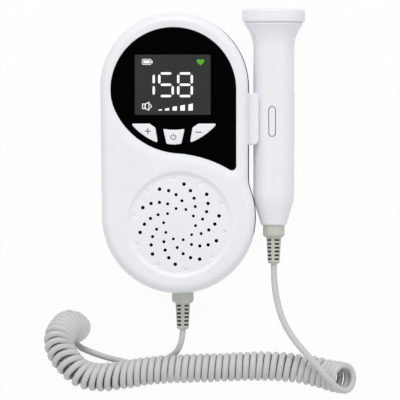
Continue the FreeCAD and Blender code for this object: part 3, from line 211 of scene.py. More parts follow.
def straight(start, end, count):
    """Points on a straight line without its end, where the next line begins."""
    return start + (end - start) * np.linspace(0, 1, count, endpoint=False)[:, None]


def heading(a, b):
    """Direction from a to b, as an angle from the x axis."""
    return math.atan2(b[1] - a[1], b[0] - a[0])


def smooth(t):
    """0 before 0, 1 after 1, and 3t^2 - 2t^3 between."""
    t = np.clip(t, 0, 1)
    return t * t * (3 - 2 * t)


def ramp(value, start, length):
    """A smooth step from 0 at a start to 1 at a length after it."""
    return smooth((value - start) / length)

# %% [markdown]
# Two questions come up for every face: how far is a point from an outline, and is it inside?
# Both are asked for whole arrays at once. The first one compares each point with each straight
# edge, in blocks that keep the memory small.

# %% Distance to a line, and inside or outside
BLOCK, TINY = 4000, 1e-12


def distance(points, ring):
    """Shortest way from each point to a closed line of straight edges."""
    along = np.roll(ring, -1, axis=0) - ring
    length = np.maximum((along ** 2).sum(1), TINY)
    nearest = np.empty(len(points))
    for first in range(0, len(points), BLOCK):
        block = points[first:first + BLOCK, None]
        share = np.clip(((block - ring) * along).sum(2) / length, 0, 1)
        foot = ring + share[..., None] * along
        nearest[first:first + BLOCK] = np.sqrt(((block - foot) ** 2).sum(2)).min(1)
    return nearest


def inside(points, ring):
    """Whether each point lies in a closed line, by counting the edges right of it."""
    x, y = points[:, 0, None], points[:, 1, None]
    ax, ay = ring.T
    bx, by = np.roll(ring, -1, axis=0).T
    spans = (ay > y) != (by > y)
    crossing = ax + (y - ay) / np.where(by == ay, TINY, by - ay) * (bx - ax)
    return (spans & (x < crossing)).sum(1) % 2 == 1

# %% [markdown]
# A face with fifty holes is hard to model by hand. Here the rings of its edges and a loose
# field of points go into a Delaunay triangulation, which joins near points into even triangles
# and never cuts across a ring. Triangles whose middle lies in a hole are left out.

# %% Areas with holes
ROW_RISE = 0.866


def ring_numbers(rings):
    """Numbers of each ring's points, in a net that starts with these rings in their order."""
    ends = np.cumsum([len(ring) for ring in rings])
    return [np.arange(end - len(ring), end) for ring, end in zip(rings, ends)]


def triangulated(outer, holes, extra=()):
    """Points and triangles of an area with holes: a Delaunay net that keeps the rings."""
    rings = [outer, *holes]
    points = np.concatenate(rings + ([extra] if len(extra) else []))
    edges = [np.stack([index, np.roll(index, -1)], axis=1) for index in ring_numbers(rings)]
    made = delaunay_2d_cdt([Vector(point) for point in points.tolist()],
                           np.concatenate(edges).tolist(), [], 0, SAME_POINT)
    net = np.array([point[:] for point in made[0]])
    triangles = np.array(made[2])
    middle = net[triangles].mean(1)
    keep = inside(middle, outer)
    for hole in holes:
        keep &= ~inside(middle, hole)
    return net, triangles[keep]


def grid(low, high, step):
    """Staggered rows of points that fill a rectangle, so that their triangles are even-sided."""
    rows = []
    for number, y in enumerate(np.arange(low[1], high[1], step * ROW_RISE)):
        x = np.arange(low[0] + step / 2 * (number % 2), high[0], step)
        rows.append(np.column_stack([x, np.full(len(x), y)]))
    return np.concatenate(rows)

# %% [markdown]
# Moulded edges are never sharp. One helper moves a closed line in or out by the same distance
# everywhere, which gives the rings of a soft edge, and one rounds the corners of a line. Its
# bend is a quadratic curve whose control point is drawn back a little from the corner.

# %% Lines moved and rounded
CORNER_PULL, END_PULL, LEAST_BEND = 0.8, 0.1, 1e-3


def offset(ring, distance_out):
    """A closed line moved along its normals, outwards for a positive distance.

    A point moves by the distance / cos(half the bend), and by no more than twice it.
    """
    before, after = np.roll(ring, 1, axis=0), np.roll(ring, -1, axis=0)
    a, b = ring - before, after - ring
    a /= np.linalg.norm(a, axis=1)[:, None]
    b /= np.linalg.norm(b, axis=1)[:, None]
    normal = np.stack([a[:, 1] + b[:, 1], -a[:, 0] - b[:, 0]], axis=1)
    length = np.linalg.norm(normal, axis=1)
    normal /= length[:, None]
    return ring + normal * distance_out / np.maximum(length / 2, 0.5)[:, None]


def rounded(corners, radius, steps=5):
    """A closed line round the corners, each corner replaced by a small bend."""
    corners = np.asarray(corners, float)
    radii = np.broadcast_to(radius, len(corners))
    line = []
    for before, corner, after, bend in zip(np.roll(corners, 1, 0), corners,
                                           np.roll(corners, -1, 0), radii):
        back, ahead = before - corner, after - corner
        reach = min(np.linalg.norm(back), np.linalg.norm(ahead)) / 2
        back, ahead = back / np.linalg.norm(back), ahead / np.linalg.norm(ahead)
        half = math.acos(np.clip(back @ ahead, -1, 1)) / 2
        trim = min(bend / math.tan(half), reach)
        if trim < LEAST_BEND:
            line.append(corner)
            continue
        t = np.linspace(0, 1, steps + 1)[:, None]
        start, end = corner + back * trim, corner + ahead * trim
        control = corner * CORNER_PULL + (start + end) * END_PULL
        line += list((1 - t) ** 2 * start + 2 * t * (1 - t) * control + t ** 2 * end)
    return np.array(line)

# %% [markdown]
# The camera hangs straight above the face, six metres away, with a long lens. From so far off
# there is hardly any perspective: the side walls are hidden, and the unit shows its outline as
# a drawing does.

# %% Camera
camera = placed("camera", bpy.data.cameras.new("camera"))
camera.location = (0.01107, -0.0242, 6.0)
camera.data.sensor_width = 36
camera.data.lens = 1056
camera.data.clip_end = 20
bpy.context.scene.camera = camera
print("camera %.0f mm lens at %.1f m" % (camera.data.lens, camera.location.z))

# %% [markdown]
# The cord is the hardest line of the object, so it comes before the rest. It could be simulated,
# but a springy cord that lies still is easier to place through listed points: a few places that
# it passes are written down, and a NURBS spline of order 3 draws a smooth line near them. There
# are three routes: the lead at the unit, the axis of the curly part, which arches up at its left
# end and lifts a little at its right end, and the lead at the probe.

# %% Places that the cord passes, in millimetres
UNIT_LEAD = [(2.3, -90.1, 12), (2.1, -93.6, 12), (1.2, -97.8, 10.6), (-0.5, -101.3, 7.4),
             (-3.4, -104.1, 4.4), (-7.9, -106, 2.4), (-13, -107.2, 1.65),
             (-18.5, -107.9, 1.65), (-25, -107.5, 1.65), (-32, -105.9, 1.65),
             (-39.4, -103.9, 1.65), (-46.6, -101.2, 1.65), (-52, -98.8, 1.65)]
COIL = [(-52.1, -90.9, 5.8), (-53.9, -88.6, 7.6), (-56, -88, 10.8), (-58.8, -90.6, 14),
        (-61.1, -95.2, 15.2), (-60.4, -100.4, 13.6), (-56.6, -106.5, 11), (-50.8, -112.4, 9),
        (-43.4, -114.8, 8.2), (-35.6, -114.6, 7.8), (-24.6, -113, 7.7), (-13.4, -111.1, 7.7),
        (-1, -110.4, 7.7), (12, -110, 7.8), (25, -109.6, 7.8), (38, -108.9, 7.8),
        (51, -109.1, 7.8), (62.6, -110.3, 8), (71.8, -112.1, 8.6), (79, -114.3, 9.8),
        (85.3, -115.1, 13.6)]
PROBE_LEAD = [(48.7, -56.6, 16.5), (48.7, -64.6, 16.5), (50, -74.4, 17.2),
              (52.6, -84.4, 18.6), (57.6, -93.7, 20), (64.7, -102.2, 21), (71.4, -109.4, 21.2),
              (76.3, -115, 20), (79.8, -119.1, 17.8)]
print(len(UNIT_LEAD), "+", len(COIL), "+", len(PROBE_LEAD), "places")

# %% [markdown]
# A curve in Blender is a recipe, so its line is turned into a mesh for a moment and the points
# are read back. The distances between them, added up, give the way along the line at each
# point, and at the last point its whole length.

# %% Points of a spline and the way along them
def spline_points(name, places, resolution):
    """Points in millimetres on the NURBS spline of order 3 through a route's two ends."""
    curve = bpy.data.curves.new(name, "CURVE")
    curve.dimensions = "3D"
    line = curve.splines.new("NURBS")
    line.points.add(len(places) - 1)
    rows = np.column_stack([np.asarray(places, float) * MM, np.ones(len(places))])
    line.points.foreach_set("co", rows.ravel())
    line.order_u = 3
    line.use_endpoint_u = True
    line.resolution_u = resolution
    holder = placed(name, curve)
    bpy.context.view_layer.update()
    drawn = bpy.data.meshes.new_from_object(holder)
    points = np.empty(3 * len(drawn.vertices))
    drawn.vertices.foreach_get("co", points)
    bpy.data.objects.remove(holder)
    bpy.data.meshes.remove(drawn)
    bpy.data.curves.remove(curve)
    return points.reshape(-1, 3) / MM


def run_length(points):
    """Length along a line of points, up to each of them."""
    return np.append(0, np.cumsum(np.linalg.norm(np.diff(points, axis=0), axis=1)))


coil_axis = spline_points("coil_axis", COIL, resolution=24)
coil_run = run_length(coil_axis)
print("axis of the curly part %.1f mm" % coil_run[-1])

# %% [markdown]
# A curly cord's turns aren't all alike. Where it bends they fan out, where it was stretched
# they stand apart, and at both ends the last turn opens and leans over, because nothing holds
# it. So its pitch, its radius and the lean of its turns come from short tables along the axis.
# Two slow waves of less than a tenth of a millimetre keep even its flat part from looking
# machined.

# %% Tables along the axis, in millimetres and degrees
RUN = [0, 14, 18, 22, 28, 34, 40, 46, 50, 54, 58, 64, 84, 126, 150, 164, 170, 176]
PITCH = [1.8, 1.85, 2.7, 3.6, 3.9, 4.1, 4.0, 3.45, 3.7, 3.95, 3.85, 3.35, 3.42, 3.47, 3.85,
         3.7, 3.2, 2.7]
TURN_R = [6.7, 6.5, 6.3, 6.1, 6.0, 6.0, 6.05, 6.0, 6.0, 5.95, 5.9, 5.85, 5.8, 5.95, 6.1, 6.35,
          6.5, 6.6]
LEAN = [52, 47, 44, 41, 37, 25, 20, 19, 19, 19, 18, 15, 6, 0, 4, 20, 33, 49]
LAG = [0, 0, 0, 0, 4, 6, 9, 11, 13, 14, 14, 11, 3, 0, 0, 0, 0, 0]
START_ANGLE, END_ANGLE = math.radians(-60), math.radians(-200)
WAVES = ((0.07, 1.7, 0), (0.06, 0.61, 1))


def along_axis(run, table, place):
    """A table's value at each place on the axis, in straight lines from step to step."""
    return np.interp(place, np.array(RUN) * run[-1] / RUN[-1], table)


for name, table in (("pitch", PITCH), ("radius", TURN_R), ("lean", LEAN), ("lag", LAG)):
    print(name, min(table), "to", max(table))

# %% [markdown]
# The helix itself walks along the axis. At each point it knows the way ahead, turned by the
# lag and tipped up by the lean, and two directions square to that way. A circle in those two
# directions, moved along, is a turn. The first and the last angle are set so that both ends of
# the curl point towards their leads.

# %% The curl as a helix round the axis
POINTS_PER_TURN, FINE_STEPS = 18, 3000


def helix(axis, run):
    """Axis point + r (across cos a + up sin a), the angle a falling by a turn per pitch."""
    fine = np.linspace(0, run[-1], FINE_STEPS)
    turns = np.append(0, np.cumsum(np.diff(fine) / along_axis(run, PITCH, fine[:-1])))
    part = (START_ANGLE - END_ANGLE) / TAU
    whole = round(turns[-1] - part) + part
    turns *= whole / turns[-1]
    steps = np.linspace(0, whole, int(whole * POINTS_PER_TURN) + 1)
    place = np.interp(steps, turns, fine)
    centre = np.stack([np.interp(place, run, axis[:, k]) for k in range(3)], axis=1)
    way = np.gradient(centre, axis=0)
    lean, lag = (np.radians(along_axis(run, table, place)) for table in (LEAN, LAG))
    toward = np.arctan2(way[:, 1], way[:, 0]) - lag
    flat = np.column_stack([np.cos(toward), np.sin(toward)])
    way = np.column_stack([flat * np.cos(lean)[:, None], np.sin(lean)])
    across = np.column_stack([-flat[:, 1], flat[:, 0], np.zeros(len(flat))])
    up = np.cross(way, across)
    radius = along_axis(run, TURN_R, place)
    for size, rate, start in WAVES:
        radius += size * np.sin(steps * rate + start)
    angle = START_ANGLE - TAU * steps
    return centre + radius[:, None] * (across * np.cos(angle)[:, None]
                                       + up * np.sin(angle)[:, None]), whole


curl, turns = helix(coil_axis, coil_run)
cord_places = np.concatenate([UNIT_LEAD, curl, PROBE_LEAD[::-1]])
cord_line = spline_points("cord_line", cord_places, resolution=2)
print("cord %.3f m, %.1f turns, lowest %.2f mm" % (run_length(cord_line)[-1] * MM, turns,
                                                   cord_line[:, 2].min()))
print("curl start", curl[0].round(1), "end", curl[-1].round(1))

# %% [markdown]
# The tube itself is a row of rings, each square to the line. The direction across a ring is
# carried over from the ring before and made square again, so the tube doesn't twist on its way.
# The cord is one piece from the unit to the probe. The calls at the end name the solids that it
# takes over from and write its place into its points.

# %% A round tube along the line
CORD_R, CURL_R, TUBE_SIDES = 1.52, 1.62, 14
FADE_AT_UNIT, FADE_AT_PROBE = (40, 40), (2, 12)


def tube(line, radii):
    """Rings of radius r round a line, in a frame that turns as little as it can."""
    way = np.gradient(line, axis=0)
    way /= np.linalg.norm(way, axis=1)[:, None]
    across = np.cross(way[0], (0, 0, 1.0))
    across /= np.linalg.norm(across)
    angles = np.arange(TUBE_SIDES) * TAU / TUBE_SIDES
    rings = []
    for point, ahead, radius in zip(line, way, radii):
        across = across - ahead * (across @ ahead)
        across /= np.linalg.norm(across)
        up = np.cross(ahead, across)
        rings.append(point + radius * (np.cos(angles)[:, None] * across
                                       + np.sin(angles)[:, None] * up))
    return rings


def cord_piece():
    """The whole cord as one closed tube, its radius a little larger where it curls."""
    run = run_length(cord_line)
    curled = ramp(run, *FADE_AT_UNIT) * ramp(run[-1] - run, *FADE_AT_PROBE)
    made = Surface()
    rings = [made.add(ring) for ring in tube(cord_line, CORD_R + (CURL_R - CORD_R) * curled)]
    made.chain(rings)
    made.cap(rings[0], cord_line[0])
    made.cap(rings[-1], cord_line[-1])
    return made.piece("curly_cord", "cord_jacket", body=None, merge=False)


cord = cord_piece()
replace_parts(cord, "cord_lead_unit", "cord_coil", "cord_lead_probe")
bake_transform(cord)

# %% [markdown]
# Materials come next. Real moulded plastic is never one flat colour: it has a faint grain from
# the mould, slight clouds in its shade, and a polish that varies. Each finish is a small node
# tree: noise on Object coordinates tints the colour and the roughness and drives a fine bump.
# Numbers that are the same all over the surface sit on the shader's own sockets.

# %% One finish as a node tree
FINISHES = {}
GRAIN_DEPTH = 0.0002


def linear(colour):
    """A colour written as 0 to 255 on a screen, as the light that Blender works with."""
    c = np.array(colour, float) / 255
    return tuple(np.where(c <= 0.04045, c / 12.92, ((c + 0.055) / 1.055) ** 2.4)) + (1.0,)


def finish(name, colour, roughness, tint=0.03, cloud=60, grain=0.02, grain_scale=2500,
           spread=0.08, **shader):
    """Moulded or metal finish: clouds of a second shade, uneven polish and a fine grain."""
    material = bpy.data.materials.new(name)
    material.use_nodes = True
    nodes, links = material.node_tree.nodes, material.node_tree.links
    body = nodes["Principled BSDF"]
    for socket, value in shader.items():
        body.inputs[socket.replace("_", " ")].default_value = value
    place = nodes.new("ShaderNodeTexCoord")

    def noise(scale, detail):
        """The value of a noise on Object coordinates."""
        texture = nodes.new("ShaderNodeTexNoise")
        texture.inputs["Scale"].default_value = scale
        texture.inputs["Detail"].default_value = detail
        links.new(place.outputs["Object"], texture.inputs["Vector"])
        return texture.outputs["Fac"]

    clouds = noise(cloud, 4)
    shade = nodes.new("ShaderNodeValToRGB")
    base = np.array(linear(colour)[:3])
    for stop, position, factor in zip(shade.color_ramp.elements, (0.3, 0.7),
                                      (1 - tint, 1 + tint)):
        stop.position = position
        stop.color = (*np.minimum(base * factor, 1), 1)
    links.new(clouds, shade.inputs["Fac"])
    links.new(shade.outputs["Color"], body.inputs["Base Color"])
    polish = nodes.new("ShaderNodeMapRange")
    polish.inputs["To Min"].default_value = max(roughness - spread, 0.02)
    polish.inputs["To Max"].default_value = min(roughness + spread, 1)
    links.new(clouds, polish.inputs["Value"])
    links.new(polish.outputs["Result"], body.inputs["Roughness"])
    bump = nodes.new("ShaderNodeBump")
    bump.inputs["Strength"].default_value = grain
    bump.inputs["Distance"].default_value = GRAIN_DEPTH
    links.new(noise(grain_scale, 2), bump.inputs["Height"])
    links.new(bump.outputs["Normal"], body.inputs["Normal"])
    FINISHES[name] = material

# %% [markdown]
# Each line below makes one finish: its colour as a screen would show it, its roughness, and
# what sets it apart. Then every solid of the frame takes the finish that its row asks for, so
# that even what is hidden inside has one.

# %% All finishes
finish("white_shell", (243, 244, 248), 0.36, tint=0.012, grain=0.06)
finish("white_key", (243, 244, 248), 0.42, tint=0.01, grain=0.04)
finish("black_panel", (2, 2, 3), 0.07, tint=0.2, grain=0.0, spread=0.02)
finish("dark_window", (57, 59, 58), 0.12, tint=0.05, grain=0.0, spread=0.03)
finish("display_glass", (70, 76, 72), 0.15, tint=0.05)
finish("plated_steel", (196, 198, 200), 0.3, tint=0.06, cloud=300, Metallic=1.0)
finish("light_guide", (236, 238, 236), 0.3, tint=0.02)
finish("circuit_board", (22, 78, 50), 0.4, tint=0.12, cloud=220)
finish("black_plastic", (24, 24, 26), 0.45, tint=0.1, grain=0.1)
finish("cell_jacket", (40, 44, 52), 0.3, tint=0.1)
finish("magnet", (90, 92, 94), 0.4, tint=0.1, Metallic=1.0)
finish("black_foam", (14, 14, 15), 0.9, tint=0.3, grain=0.6, grain_scale=900)
finish("paper_cone", (12, 12, 13), 0.95, tint=0.2, grain=0.4)
finish("probe_lens", (214, 217, 220), 0.3, tint=0.02)
finish("crystal", (150, 146, 128), 0.4, tint=0.08)
finish("seal_rubber", (40, 40, 42), 0.7, tint=0.1)
finish("grey_rubber", (202, 203, 194), 0.55, tint=0.03, grain=0.12)
finish("cord_jacket", (208, 207, 206), 0.5, tint=0.02, cloud=120, grain=0.08)
for row in frame["record"]["subparts"]:
    part = frame["nodes"][row["node"]]
    part.data.materials.clear()
    part.data.materials.append(FINISHES[row["material_slot"]])
cord.data.materials.append(FINISHES["cord_jacket"])

# %% [markdown]
# A strain relief is a rubber boot with slots across it, so that it bends with the cord. Both
# boots could be modelled again, but the frame's have their slots already. So they stay as they
# are, and only the faces in the slots are painted a darker grey: painted shade for the deep
# slots. Such a face is known by its place: within the slotted length, and nearer to the axis
# than the skin.

# %% Painted shade in the slots of the two strain reliefs
RELIEF_X, RELIEF_Z, PROBE_X, PROBE_Z = 2.3, PARTING, 48.7, 16.5
SLOT_REACH, SLOTS_START, SLOTS_END = 2.95, 11.0, 22.8
# slot_shade is painted shade: a darker grey than the rubber, for the faces deep in the slots.
finish("slot_shade", (122, 124, 117), 0.8, tint=0.05)
for node, axis_x, axis_z in (("unit_strain_relief", RELIEF_X, RELIEF_Z),
                             ("probe_strain_relief", PROBE_X, PROBE_Z)):
    mesh = frame["nodes"][node].data
    middles = np.array([face.center[:] for face in mesh.polygons]) / MM
    out = np.hypot(middles[:, 0] - axis_x, middles[:, 2] - axis_z)
    along = middles[:, 1].max() - middles[:, 1]
    in_slot = (out < SLOT_REACH) & (along > SLOTS_START) & (along < SLOTS_END)
    mesh.materials.append(FINISHES["slot_shade"])
    for number in np.flatnonzero(in_slot):
        mesh.polygons[int(number)].material_index = len(mesh.materials) - 1
    print(int(in_slot.sum()), "of", len(mesh.polygons), "faces of", node, "lie in its slots")

# %% [markdown]
# The front housing is drawn as its mould maker would: an outline of arcs seen from the front,
# carried down as a wall and up over a soft edge, and a crowned face inside it. The outline can
# be drawn at any distance inside itself, because each arc only changes its radius. That gives
# rings that fit each other point by point.

# %% Outline of the unit and of its panel
def unit_ring(inset):
    """The unit's outline, a distance inside itself: top, left side, base, waist, right side."""
    lean = math.acos((TOP_R - BASE_R) / np.linalg.norm(TOP - BASE))
    left = (heading(TOP, BASE) - lean) % TAU
    hollow_x = SIDE_X + WAIST_R
    rise = math.sqrt((BASE_R + WAIST_R) ** 2 - (hollow_x - BASE[0]) ** 2)
    hollow = np.array((hollow_x, BASE[1] + rise))
    top_r, base_r, side = TOP_R - inset, BASE_R - inset, SIDE_X - inset
    return np.concatenate([
        arc(TOP, top_r, 0, left, 150),
        straight(polar(TOP, top_r, left), polar(BASE, base_r, left), 54),
        arc(BASE, base_r, left, heading(BASE, hollow) + TAU, 150),
        arc(hollow, WAIST_R + inset, heading(hollow, BASE) % TAU, math.pi, 14),
        straight(np.array((side, hollow[1])), np.array((side, TOP[1])), 40)])


def panel_ring(grown):
    """The panel's outline, a distance outside itself: top, blend, S-shaped foot, right side."""
    foot_r = np.linalg.norm(FOOT - SHOULDER) - SHOULDER_R
    reach_a, reach_b = PANEL_R - BLEND_R, SHOULDER_R - BLEND_R
    span = np.linalg.norm(SHOULDER - PANEL)
    along = (reach_a ** 2 - reach_b ** 2 + span ** 2) / (2 * span)
    blend = polar(PANEL, reach_a, heading(PANEL, SHOULDER) + math.acos(along / reach_a))
    side = PANEL[0] + PANEL_R
    corner_x = side - CORNER_R
    corner_y = FOOT[1] + math.sqrt((foot_r + CORNER_R) ** 2 - (corner_x - FOOT[0]) ** 2)
    corner = np.array((corner_x, corner_y))
    into, out = heading(PANEL, blend) % TAU, heading(SHOULDER, blend) % TAU
    return np.concatenate([
        arc(PANEL, PANEL_R + grown, 0, into, 110),
        arc(blend, BLEND_R + grown, into, out, 20),
        arc(SHOULDER, SHOULDER_R + grown, out, heading(SHOULDER, FOOT) % TAU, 44),
        arc(FOOT, foot_r - grown, heading(FOOT, SHOULDER), heading(FOOT, corner), 40),
        arc(corner, CORNER_R + grown, heading(corner, FOOT), 0, 8),
        straight(np.array((side + grown, corner_y)), np.array((side + grown, PANEL[1])), 40)])


for name, ring in (("unit", unit_ring(0)), ("panel", panel_ring(0))):
    print("%s outline %.1f by %.1f mm, %d points" % (name, *np.ptp(ring, axis=0), len(ring)))

# %% [markdown]
# The grille of the loudspeaker has ten arms that sweep outwards. Each has five holes that grow
# from the middle and ends in a blind pit. An Array modifier could repeat a hole, but the face
# has to know every hole as a ring that it leaves out. So one arm is written down, as radii and
# angles, and turned ten times.

# %% Holes and pits of the grille
ARM_R = (8.15, 11.98, 15.12, 17.92, 20.52, 23.5)
ARM_TURN = np.radians((30.8, 48.3, 60.8, 72.1, 83.8, 97.9))
ARM = np.array([polar((0, 0), radius, turn) for radius, turn in zip(ARM_R, ARM_TURN)])
ARMS, LEAST_HOLE_R, HOLE_GROWTH = 10, 0.66, 0.05


def spun(points, turns):
    """Points turned about the origin by each of several angles."""
    cos, sin = np.cos(turns)[:, None], np.sin(turns)[:, None]
    return np.stack([points[:, 0] * cos - points[:, 1] * sin,
                     points[:, 0] * sin + points[:, 1] * cos], axis=-1)


arms = spun(ARM, np.arange(ARMS) * TAU / ARMS) + DISH
holes, pits = arms[:, :-1].reshape(-1, 2), arms[:, -1]
hole_radii = np.tile(LEAST_HOLE_R + HOLE_GROWTH * np.arange(len(ARM) - 1), ARMS)
print(len(holes), "holes and", len(pits), "blind pits in the dish")

# %% [markdown]
# The face isn't flat. It is crowned across by a very large radius, it dips in a soft slope
# towards the black panel all the way round, and it drops by a rounded wall into the round dish
# of the loudspeaker. One formula gives its height at any point, so the slope, the dish and
# the blind pits of the grille flow into each other without seams.

# %% Height of the face
PANEL_SLOPE, PANEL_DIP = 5.0, 0.75
DISH_LIP, DISH_RISE, PIT_R, PIT_SLOPE, PIT_DEPTH = 0.4, 0.6, 1.05, 0.35, 0.5
panel_edge = panel_ring(0)


def to_nearest(points, spots):
    """Distance from each point to the nearest of several spots."""
    return np.linalg.norm(points[:, None] - spots, axis=2).min(1)


def crown(x):
    """Height of the crown: depth - R + sqrt(R^2 - x^2)."""
    return DEPTH - CROWN_R + np.sqrt(CROWN_R ** 2 - np.asarray(x) ** 2)


def below_crown(drop):
    """A formula for pieces on the face: the crown's height at given points, less a drop."""
    return lambda points: crown(points[:, 0]) - drop


def face_height(points):
    """Crown - slope to the panel - dish - pits, each a smooth step of a distance."""
    gap = np.where(inside(points, panel_edge), 0, distance(points, panel_edge))
    from_dish = np.linalg.norm(points - DISH, axis=1)
    return (crown(points[:, 0]) - PANEL_DIP * (1 - smooth(gap / PANEL_SLOPE))
            - DISH_DEPTH * smooth((DISH_R + DISH_LIP - from_dish) / DISH_WALL)
            + DISH_RISE * np.maximum(1 - (from_dish / (DISH_R - 2)) ** 2, 0)
            - PIT_DEPTH * smooth((PIT_R - to_nearest(points, pits)) / PIT_SLOPE))


for name, place in (("middle of the dish", DISH), ("bottom edge", BASE - (0, BASE_R - 6))):
    print("height at the %s %.2f mm" % (name, face_height(np.array([place]))[0]))

# %% [markdown]
# The front housing is one closed shell with an outer and an inner face. It could be a sheet
# that a Solidify modifier thickens, but its rim, its recess and its fifty holes each turn
# inwards in their own way. So both faces are made, from the same net. Where the height changes
# fast, round the dish, the panel, the holes and the pits, its points lie on rings that follow
# the form. Elsewhere a loose field of points is enough.

# %% Points of the face
HOLE_SIDES, PIT_SIDES, DISH_SIDES = 12, 16, 180
MOUTH_SLANT, RECESS_GAP, RECESS_ROUND = 0.14, 0.22, 0.3
PIT_RINGS = (0.4, 0.7, 0.82, 0.94, 1.1)
FIELD_STEP, FIELD_OFF, RINGS_OFF = 1.5, 1.9, 1.3


def face_points(edge):
    """Rings round all that changes the height, and a field of points that keeps off them."""
    around = [circle(hole, radius + 0.5, HOLE_SIDES) for hole, radius in zip(holes, hole_radii)]
    around += [circle(pit, radius, PIT_SIDES) for pit in pits for radius in PIT_RINGS]
    rings = [circle(DISH, radius, DISH_SIDES)
             for radius in np.linspace(DISH_R - 2.6, DISH_R + 1.2, 9)]
    rings += [panel_ring(grown) for grown in np.linspace(1.2, PANEL_SLOPE + 0.6, 6)]
    field = grid((-42, -75), (42, 75), FIELD_STEP)
    from_dish = np.linalg.norm(field - DISH, axis=1)
    field = field[(distance(field, edge) > PANEL_SLOPE + 1) & ~inside(field, edge)
                  & ((from_dish < DISH_R - 3.2) | (from_dish > DISH_R + 1.9))]
    spots = np.concatenate([holes, pits])
    net = np.concatenate(rings + [field[to_nearest(field, spots) > FIELD_OFF]])
    net = net[inside(net, unit_ring(FRONT_ROUND + 0.35)) & ~inside(net, panel_ring(0.7))]
    return np.concatenate([net[to_nearest(net, spots) > RINGS_OFF]] + around)

# %% [markdown]
# Each edge of the net is then led from the outer face to the inner one by a ladder of rings. At
# a hole it goes down a small slant and a straight wall, at the recess over a small round, and at
# the rim over the soft edge, down the drafted wall and up again inside. Beside the probe the
# wall stands back by half a millimetre above a narrow lip. The lip is painted black, as painted
# shade, so that it shows from the front as the dark shadow line of the parting seam. A row of
# WALL_STEPS is a ring's inset, its inset beside the probe, and its height.

# %% Ladders from the outer face to the inner one
DRAFT, LIP_BASE, LIP_TOP = 0.5, PARTING + 0.35, PARTING + 0.8
BESIDE_X, BESIDE_Y = (16, 20), (-57, 16)
WALL_STEPS = ((DRAFT * 0.75, DRAFT, 24), (DRAFT * 0.4, DRAFT, 18), (0.08, 0.47, LIP_TOP),
              (0.05, 0, LIP_TOP - 0.05), (0.05, 0, LIP_BASE), (0.15, 0.15, PARTING + 0.12),
              (0.4, 0.4, PARTING + 0.02), (WALL, WALL, PARTING + 0.02), (WALL, WALL, 25),
              (WALL + 0.6, WALL + 0.6, 28))


def wall_ring(inset, inset_beside):
    """A ring of the wall, with its own inset on the side of the probe."""
    ring, back = unit_ring(inset), unit_ring(inset_beside)
    beside = ramp(ring[:, 0], *BESIDE_X) * ramp(ring[:, 1], *BESIDE_Y)
    return ring + (back - ring) * beside[:, None]


def rim_ladder():
    """Over the soft edge, down the wall, round the lip of the seam and up inside."""
    rings = []
    for a in np.radians(np.arange(6, 91, 6)):
        ring = unit_ring(DRAFT + (FRONT_ROUND - DRAFT) * (1 - math.sin(a)))
        rings.append(lift(ring, face_height(ring) - FRONT_ROUND * (1 - math.cos(a))))
    return rings + [lift(wall_ring(*insets), height) for *insets, height in WALL_STEPS]


def recess_ladder(edge):
    """Over a small round and straight down beside the panel."""
    height = face_height(edge)
    return [lift(panel_ring(RECESS_GAP + RECESS_ROUND * (1 - math.sin(a))),
                 height - RECESS_ROUND * (1 - math.cos(a))) for a in np.radians((30, 60, 90))]


def hole_ladder(centre, radius):
    """Down the slant of a hole's mouth to its straight wall."""
    height = face_height(centre[None])[0]
    return [lift(circle(centre, radius + out, HOLE_SIDES), height - down)
            for out, down in ((0.1, 0.03), (0.08, 0.1))]

# %% The front housing
# PAINTED_SHADE numbers the shell's black finish, which paints shade on the hole walls and on the
# seam's lip.
PAINTED_SHADE, LIP_LEFT, LIP_LOW = 1, 17, -41


def front_shell():
    """Both faces and all ladders in one mesh. Hole walls and the seam's lip are painted black:
    painted shade.
    """
    made = Surface()
    rim, edge = unit_ring(FRONT_ROUND), panel_ring(RECESS_GAP + RECESS_ROUND)
    mouths = [circle(hole, radius + MOUTH_SLANT, HOLE_SIDES)
              for hole, radius in zip(holes, hole_radii)]
    net, triangles = triangulated(rim, [edge, *mouths], face_points(edge))
    height = face_height(net)
    top, under = made.sheets(net, triangles, height, height - WALL)
    ladders = [(rim_ladder(), 0), (recess_ladder(edge), 0)]
    # The walls of the holes take the black finish: painted shade for the dark inside of each
    # hole.
    ladders += [(hole_ladder(*hole), PAINTED_SHADE) for hole in zip(holes, hole_radii)]
    for index, (ladder, look) in zip(ring_numbers([rim, edge, *mouths]), ladders):
        made.chain([top[index], *map(made.add, ladder), under[index]], look)
    shell = made.piece("front_shell", "white_shell", finishes=("white_shell", "black_plastic"))
    # Faces of the lip beside the probe take the black finish too: painted shade of the parting
    # seam.
    for face in shell.data.polygons:
        x, y, z = np.array(face.center) / MM
        if x > LIP_LEFT and y > LIP_LOW and LIP_BASE < z < LIP_TOP:
            face.material_index = PAINTED_SHADE
    return shell


front = front_shell()
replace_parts(front, "front_housing")

# %% [markdown]
# The panel is a thin glossy plate that lies in the recess, and the keys and the display window
# stand in openings of it. Their rings come first. The plus key follows the panel's left side,
# and the minus key is its mirror image. The power key between them has a hollow top.

# %% Rings of the keys and of the window
KEYS = np.array((-2.2, 31.7))
KEY_INSET, KEY_TOP, KEY_LOW, KEY_TRIM = 2.9, 17, 8.1, 0.05
KEY_BEND, SWEEP_BEND, FOOT_BEND = 0.75, 3.0, 1.2


